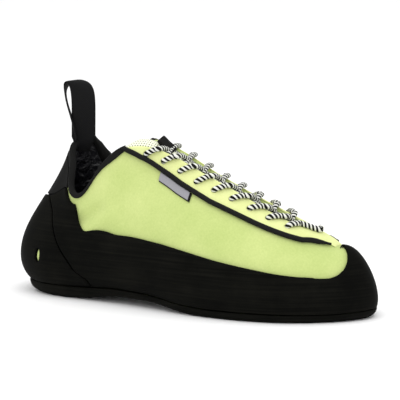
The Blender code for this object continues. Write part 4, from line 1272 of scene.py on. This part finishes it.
    def build_eyestay(self) -> None:
        """Band between the piping and the throat, closed in front of the throat in a U. Its lighter colour is partly
        painted top light.

        Each half rises from the piping to the throat's edge, which is rounded over. In front of the throat the last
        rows go on to the middle of the crest, where the halves meet.
        """
        last = self.last
        start, tip = last.place_of((PEAK_X / LENGTH + 0.004, self.eyestay_tip / LENGTH))
        half = np.linspace(start, tip, 181)
        bridge = ramp(half, *last.place_of(self.throat_end))
        bridge = (bridge * (2 - bridge))[:, None]
        edge = self.eyestay_rim
        halves = []
        for medial in (False, True):
            a = side(half, medial)[None, :]
            low = last.share_moved(a, self.piping_line(half, medial)[None, :], self.piping_radius * 0.6)
            low = np.minimum(low, 0.985)
            free = ~crest_columns(last, a) * (1 - bridge.T)
            high = last.share_moved(a, np.ones_like(a) * 0.996, -edge * free) + 0.004 * (1 - free)
            v = np.linspace(0.0, 1.0, 11)[:, None]
            t = low + (high - low) * v
            thin = GAP + (EYESTAY_WALL - GAP) * ramp(half, tip, tip - 0.03)[None, :]
            outer, inner = [last.surface(a, t, GAP + thin)], [last.surface(a, t, GAP)]
            for left, taken in quarter_round(4)[1:]:
                share = 1.0 - (1.0 - high) * left
                outer.append(last.surface(a, share, GAP + thin - np.minimum(edge, thin * 0.8) * taken * free))
                inner.append(last.surface(a, share, GAP))
            halves.append((np.concatenate(outer), np.concatenate(inner)))
        grids = []
        for layer in (0, 1):
            middle = (halves[0][layer][-1] + halves[1][layer][-1]) / 2
            pair = []
            for grid in (halves[0][layer], halves[1][layer]):
                more = [grid[-1] + (middle - grid[-1]) * bridge * share for share in (0.5, 1.0)]
                pair.append(np.concatenate([grid, np.array(more)]))
            grids.append(np.concatenate([pair[0], pair[1][:, ::-1]], 1))
        closed = bridge[:, 0] > 0.999
        mesh = skin_mesh("eyestay_band", *grids, crest=np.concatenate([closed, closed[::-1]]))
        band = put(mesh, [self.wardrobe.make(BAND_WITH_PAINTED_TOP_LIGHT)], "lime_band", "eyestay")
        punch(band, self.eyelet_pegs())

    def build_piping(self) -> None:
        """Piping along the lower edge of the eyestay, tapered where it ends on the toe."""
        last = self.last
        start, end = last.place_of(PEAK_X / LENGTH) - 0.006, last.place_of(PIPING_LINE[-1][0])
        lift = GAP + self.piping_radius * 0.8
        finish = self.wardrobe.make(PIPING)
        for medial, name in ((False, "lateral"), (True, "medial")):
            stop = end - self.medial_short * medial
            half = np.linspace(start, stop, 120)
            taper = np.clip((stop - half) / 0.03, 0.3, 1.0) ** 0.6
            taper = taper * np.clip(0.6 + (half - start) / 0.02, 0.0, 1.0)
            path = last.surface(side(half, medial), self.piping_line(half, medial), lift)
            mesh = tube_mesh("piping_cord_" + name, path, self.piping_radius * taper)
            put(mesh, [finish], "black_binding", "piping_" + name)

    def build_binding(self) -> None:
        """Binding folded over the collar's edge: a U section carried round the rim."""
        last = self.last
        end = last.place_of(PEAK_X / LENGTH)
        a = np.linspace(-end, end, 241)
        rim = np.ones_like(a)
        top, out = last.surface(a, rim), last.normals(a, rim)
        up = unit(top - last.surface(a, np.full_like(a, 0.97)))
        wall = self.binding_wall
        near, far = GAP, GAP + wall
        ring_a = np.mod(a, 2.0)
        outer, inner = [], []
        pad, narrow = from_table(a, PADDED), from_table(a, SHOWN)
        fade = np.clip((end + 0.004 - np.abs(a)) / 0.022, 0.0, 1.0) ** 0.7
        full = UPPER_WALL + 2 * far
        wide = (full / 2 * (1 + self.binding_swell * pad))[:, None]
        crown = (self.binding_crown + pad * self.padding / full * 2)[:, None]
        depths = [self.binding_depth * (0.35 + 0.65 * fade) * share for share in (1.0, 0.66, 0.33)]
        for distance in depths:
            share = last.share_below_rim(ring_a, distance * narrow)
            outer.append(last.surface(a, share, far))
            inner.append(last.surface(a, share, near))
        for turn in np.linspace(0.0, math.pi, 9):
            centre = top - out * UPPER_WALL / 2 + up * self.binding_lift
            swing = out * math.cos(turn) + up * math.sin(turn) * crown
            outer.append(centre + swing * wide)
            inner.append(centre + swing * (wide - wall))
        for distance in depths[::-1]:
            share = last.share_below_rim(ring_a, distance)
            outer.append(last.surface(a, share, -UPPER_WALL - far))
            inner.append(last.surface(a, share, -UPPER_WALL - near))
        mesh = skin_mesh("collar_tape", np.array(outer), np.array(inner))
        put(mesh, [self.wardrobe.make(TAPE)], "black_binding", "collar_binding")

    def build_label(self) -> None:
        """Small plain cloth label under the piping, over a black sheet that shows past its lower edge and toe end as
        its dark folded edging and as painted shadow where the label stands off the panel.
        """
        last = self.last
        for name, over, base, top, finish, slot, stands_for in (
            # The black sheet reaches past the label's lower edge and toe end: its dark edging, and painted shadow of
            # the label.
            ("label_edge_and_painted_shadow", 0.0006, GAP, 0.0008, TAPE, "black_binding", ()),
            ("label_cloth", 0.0, 0.0008, 0.0014, LABEL, "pale_mesh", ("side_label",)),
        ):
            a = np.linspace(self.label_from, self.label_to + over / LENGTH * 2, 40)[None, :]
            high = last.share_moved(a, last.piping_share(a), -self.piping_radius * 1.1)
            low = last.share_moved(a, high, -self.label_height - over)
            t = low + (high - low) * np.linspace(0.0, 1.0, 10)[:, None]
            mesh = skin_mesh(name, last.surface(a, t, top), last.surface(a, t, base))
            put(mesh, [self.wardrobe.make(finish)], slot, *stands_for)

    def build(self) -> None:
        """All pieces of the upper."""
        self.build_shell()
        self.build_window_cloth()
        self.build_heel_collar()
        self.build_eyestay()
        self.build_piping()
        self.build_binding()
        self.build_label()


@dataclass
class Throat:
    """Tongue, its tab and the lace."""

    last: Last
    wardrobe: Wardrobe
    upper: Upper
    tuck: float = 0.011
    press: float = 0.0030
    tongue_wall: float = 0.0020
    tongue_over: float = 0.0080
    tongue_rise: float = 0.0024
    tab_x: float = 0.1117
    tongue_tip_under: float = 0.0012
    tongue_arch: float = 1.1
    tab_wall: float = 0.0011
    tab_across: tuple[float, float, float] = (0.0, 0.0078, 0.0022)
    tab_up: tuple[float, float, float] = (-0.0062, 0.0, 0.0066)
    tab_bend: float = 0.0012
    squash: float = 0.92
    lace_in: float = 0.06
    lace_out: float = 0.62
    front: float = 1.15
    front_down: float = 0.003
    arch: tuple[float, float] = (0.0012, 0.0006)
    second_over: float = 0.0008

    def tongue_grid(self, x: Array, rows: int) -> Array:
        """Outer face of the tongue, tucked under the throat's edges and arched between them.

        Each row of points is a cubic curve between the two tucked edges, whose middle points lie past the rims.

        Args:
            x: Places along the shoe, from the heel.
            rows: Points across.

        Returns:
            Grid of points.
        """
        last = self.last
        half = last.place_of(x / LENGTH)
        under = (self.tongue_tip_under + GAP * 2) * np.interp(x, (PEAK_X + 0.003, PEAK_X + 0.012), (1.0, 0.0))
        press = self.press * np.interp(x, (PEAK_X, PEAK_X + 0.015), (0.0, 1.0))
        depth = -(UPPER_WALL + GAP * 2) - under - press
        ones = np.ones_like(half)
        left = last.surface(half, last.share_below_rim(half, self.tuck), depth)
        right = last.surface(2.0 - half, last.share_below_rim(2.0 - half, self.tuck), depth)
        left_rim, right_rim = last.surface(half, ones, depth), last.surface(2.0 - half, ones, depth)
        u = np.linspace(0.0, 1.0, rows)[:, None, None]
        p1, p2 = left + (left_rim - left) * 1.5, right + (right_rim - right) * 1.5
        lift = np.zeros_like(left)
        lift[:, 2] = press
        arch = 3 * u * (1 - u)
        return (1 - u) ** 3 * left + arch * (1 - u) * p1 + arch * u * p2 + u**3 * right + arch * lift * self.tongue_arch

    def build_tongue(self) -> None:
        """Pale perforated tongue."""
        start = PEAK_X - 0.004
        x = np.linspace(start, THROAT_END_X + 0.004, 90)
        outer = self.tongue_grid(x, 31)
        back = unit(outer[:, :1] - outer[:, 5:6])
        distance = np.linspace(self.tongue_over, 0.0, 5)[None, :-1, None]
        outer = np.concatenate([outer[:, :1] + back * distance, outer], 1)
        reach = np.concatenate([np.full(4, start), x])
        outer[:, :, 2] += self.tongue_rise * np.interp(reach, (PEAK_X, PEAK_X + 0.022), (1.0, 0.0))
        normal = unit(np.cross(np.gradient(outer, axis=1), np.gradient(outer, axis=0)))
        mesh = skin_mesh("tongue_mesh", outer, outer - normal * self.tongue_wall)
        put(mesh, [self.wardrobe.make(TONGUE)], "pale_mesh", "tongue")

    def build_tab(self) -> None:
        """Folded webbing tab that leans back over the tongue's top."""
        foot = self.tongue_grid(np.array([self.tab_x, self.tab_x + 0.001]), 3)[1, 0]
        across, up = np.array(self.tab_across), np.array(self.tab_up)
        normal = unit(np.cross(across, up))
        v, w = np.linspace(-0.45, 1.0, 15)[:, None, None], np.linspace(-0.5, 0.5, 9)[None, :, None]
        sheet = foot + across * w + up * v + normal * self.tab_bend * np.clip(1 - v, 0.0, 1.0) ** 2
        thin = normal * self.tab_wall * (1 - 0.55 * np.clip(v, 0.0, 1.0) ** 12)
        mesh = skin_mesh("tab_webbing", sheet + thin, sheet - thin)
        put(mesh, [self.wardrobe.make(TAB)], "black_webbing", "tongue_tab")

    def crossing(self, place: float, before: float, after: float, medial: bool) -> Array:
        """Points of the lace at one eyelet.

        It comes from the other side under the throat's edge, rises through the eyelet and goes back over the edge.

        Args:
            place: The eyelet on the lateral half.
            before: Move toward the heel at which it comes in, round the ring.
            after: Move toward the toe at which it goes out.
            medial: Whether the eyelet is on the medial side.

        Returns:
            Points along the lace.
        """
        last, up = self.last, self.upper
        under = -(UPPER_WALL + GAP + LACE_RADIUS)
        over = GAP + EYESTAY_WALL + LACE_RADIUS * 0.95
        come_in, go_out = np.array(((-1.0, -0.5, 0, 0, 0, 0, 0, 0), (0, 0, 0, 0, 0.06, 0.36, 0.70, 1.0)))
        half = place + before * come_in + after * go_out
        a = side(half, medial)
        edge = float(up.eyelet_share(a[2:3])[0])
        below = float(up.eyelet_share(a[2:3], 0.0012)[0])
        left = 1 - edge
        share = np.array((1.0, (1.0 + edge) / 2, below, edge, edge, edge + left * 0.3, edge + left * 0.75, 1.0))
        offset = np.array((under, under, under * 0.9, -UPPER_WALL / 2, over * 0.75, over, over, over))
        return last.surface(a, share, offset)

    def build_laces(self) -> None:
        """The lace in two runs. Their hidden ends stop inside, under the top eyelets."""
        half = self.upper.eyelets()
        pitch = float(np.diff(half).mean())
        finish = self.wardrobe.make(LACE)
        for name, start_medial in (("lace_first", False), ("lace_second", True)):
            medial = start_medial
            points = []
            for index, place in enumerate(half):
                knot = self.crossing(float(place), pitch * self.lace_in, pitch * self.lace_out, medial)
                if index == 0:
                    knot = knot[2:]
                if index == len(half) - 1:
                    knot = knot[:4]
                if points:
                    start, end = points[-1][-1], knot[0]
                    span = start + (end - start) * np.array((0.3, 0.6))[:, None]
                    span[:, 2] += np.array(self.arch) + self.second_over * start_medial
                    points.append(span)
                points.append(knot)
                medial = not medial
            if not start_medial:
                last_eyelet = float(half[-1])
                front = last_eyelet + pitch * self.front
                here = self.crossing(last_eyelet, 0.0, pitch * 0.42, not medial)
                there = self.crossing(front, 0.0, pitch * 0.1, medial)
                points += [here[4:], there[5:][::-1], there[2:3] - np.array((0.0, 0.0, self.front_down))]
            path = path_through(np.concatenate(points), 6)
            put(tube_mesh(name, path, LACE_RADIUS, self.squash), [finish], "striped_cord", "laces")
            LOG.info("%s: %.0f mm long", name, 1000 * path_length(path)[-1])

    def build(self) -> None:
        """Tongue, tab and lace."""
        self.build_tongue()
        self.build_tab()
        self.build_laces()


@dataclass
class PullLoop:
    """Webbing loop at the top of the heel, whose legs turn until one shows its edge and the other its face."""

    last: Last
    wardrobe: Wardrobe
    width: float = 0.016
    height: float = 0.038
    foot: float = 0.0035
    set_back: float = 0.0034
    spread: float = 0.0145
    wall: float = 0.0014
    seam_lift: float = 0.0009
    front_foot: float = 2.6
    back_foot: float = 0.4
    edge_thinned: float = 0.75
    steps: int = 120
    softening: int = 90

    def build(self) -> None:
        """The loop, a flat section carried along its path."""
        base = self.last.surface(0.0, 1.0) + np.array((0.0, 0.0, self.seam_lift + GAP * 6))
        along, height, turn = np.array(LOOP_PATH).T
        u = np.linspace(0.0, 1.0, self.steps)
        knots = np.linspace(0.0, 1.0, len(along))
        path = [averaged(np.interp(u, knots, values), self.softening) for values in (along, height, turn)]
        angle = np.radians(path[2])
        across = np.stack([-np.sin(angle), np.cos(angle), np.zeros_like(angle)], -1)
        centre = base + np.stack([path[0] * self.spread, np.zeros_like(u), path[1] * self.height], -1)
        centre[:, 0] -= np.interp(u, (0.0, 0.4, 1.0), (0.0, self.set_back * 0.7, self.set_back))
        normal = unit(np.cross(across, np.gradient(centre, axis=0)))
        centre[0, 2] -= self.foot * self.back_foot
        centre[-1, 2] -= self.foot * self.front_foot
        width = np.full(self.steps, self.width)
        width[-1] *= 0.5
        w = np.linspace(-0.5, 0.5, 13)[:, None, None]
        sheet = centre[None] + across[None] * width[None, :, None] * w
        thin = self.wall / 2 * (1 - self.edge_thinned * np.abs(2 * w) ** 8)
        mesh = skin_mesh("loop_webbing", sheet + normal[None] * thin, sheet - normal[None] * thin)
        put(mesh, [self.wardrobe.make(WEBBING)], "black_webbing", "pull_loop")


@dataclass
class Studio:
    """White floor, soft light from above and the photo's camera."""

    lens: float = 178.27
    sensor: float = 36.0
    aim: tuple[float, float, float] = (0.0023, 0.00685, 0.0669)
    stand: tuple[float, float, float] = (0.59869, -1.13039, 0.27074)
    lit: tuple[float, float, float] = (0.0, 0.0, 0.04)
    floor_level: float = -0.0002
    floor_reach: float = 6.0
    floor_white: float = 0.98
    light: float = 1.02

    def camera(self) -> None:
        """Camera at the photo's angle, aimed so that it needs no shift."""
        data = bpy.data.cameras.new("camera")
        data.lens, data.sensor_width = self.lens, self.sensor
        camera = bpy.data.objects.new("camera", data)
        camera.location = self.stand
        away = Vector(self.stand) - Vector(self.aim)
        camera.rotation_mode = "QUATERNION"
        camera.rotation_quaternion = away.to_track_quat("Z", "Y")
        bpy.context.scene.collection.objects.link(camera)
        bpy.context.scene.camera = camera

    def lamp(self, name: str, place: tuple[float, float, float], size: float, watts: float) -> None:
        """Square area light that looks at the shoe."""
        data = bpy.data.lights.new(name, "AREA")
        data.shape, data.size, data.energy = "SQUARE", size, watts
        lamp = bpy.data.objects.new(name, data)
        lamp.location = place
        lamp.rotation_mode = "QUATERNION"
        lamp.rotation_quaternion = (Vector(place) - Vector(self.lit)).to_track_quat("Z", "Y")
        bpy.context.scene.collection.objects.link(lamp)

    def build(self) -> None:
        """Floor, world, lights and camera."""
        corners = ((-1, -1), (1, -1), (1, 1), (-1, 1))
        mesh = bpy.data.meshes.new("floor")
        points = [(x * self.floor_reach, y * self.floor_reach, self.floor_level) for x, y in corners]
        mesh.from_pydata(points, [], [(0, 1, 2, 3)])
        floor = bpy.data.objects.new("floor", mesh)
        bpy.context.scene.collection.objects.link(floor)
        white = bpy.data.materials.new("floor_white")
        white.use_nodes = True
        shader = white.node_tree.nodes["Principled BSDF"]
        shader.inputs["Base Color"].default_value = (*(self.floor_white,) * 3, 1.0)
        shader.inputs["Roughness"].default_value = 0.9
        mesh.materials.append(white)
        world = bpy.data.worlds.new("studio")
        world.use_nodes = True
        sky = world.node_tree.nodes["Background"]
        sky.inputs[0].default_value, sky.inputs[1].default_value = (1.0, 1.0, 1.0, 1.0), self.light
        bpy.context.scene.world = world
        bpy.context.scene.view_settings.view_transform = "Standard"
        self.lamp("top", (0.1, -0.2, 1.3), 1.4, 7.0)
        self.lamp("front", (0.9, -1.4, 0.9), 1.2, 2.0)
        self.camera()


def main() -> None:
    logging.basicConfig(level=logging.INFO)
    last, wardrobe = Last(), Wardrobe()
    Sole(last, wardrobe).build()
    rubber = Rubber(last, wardrobe)
    rubber.build()
    upper = Upper(last, wardrobe, rubber)
    upper.build()
    Throat(last, wardrobe, upper).build()
    PullLoop(last, wardrobe).build()
    Studio().build()


if __name__ == "__main__":
    main()
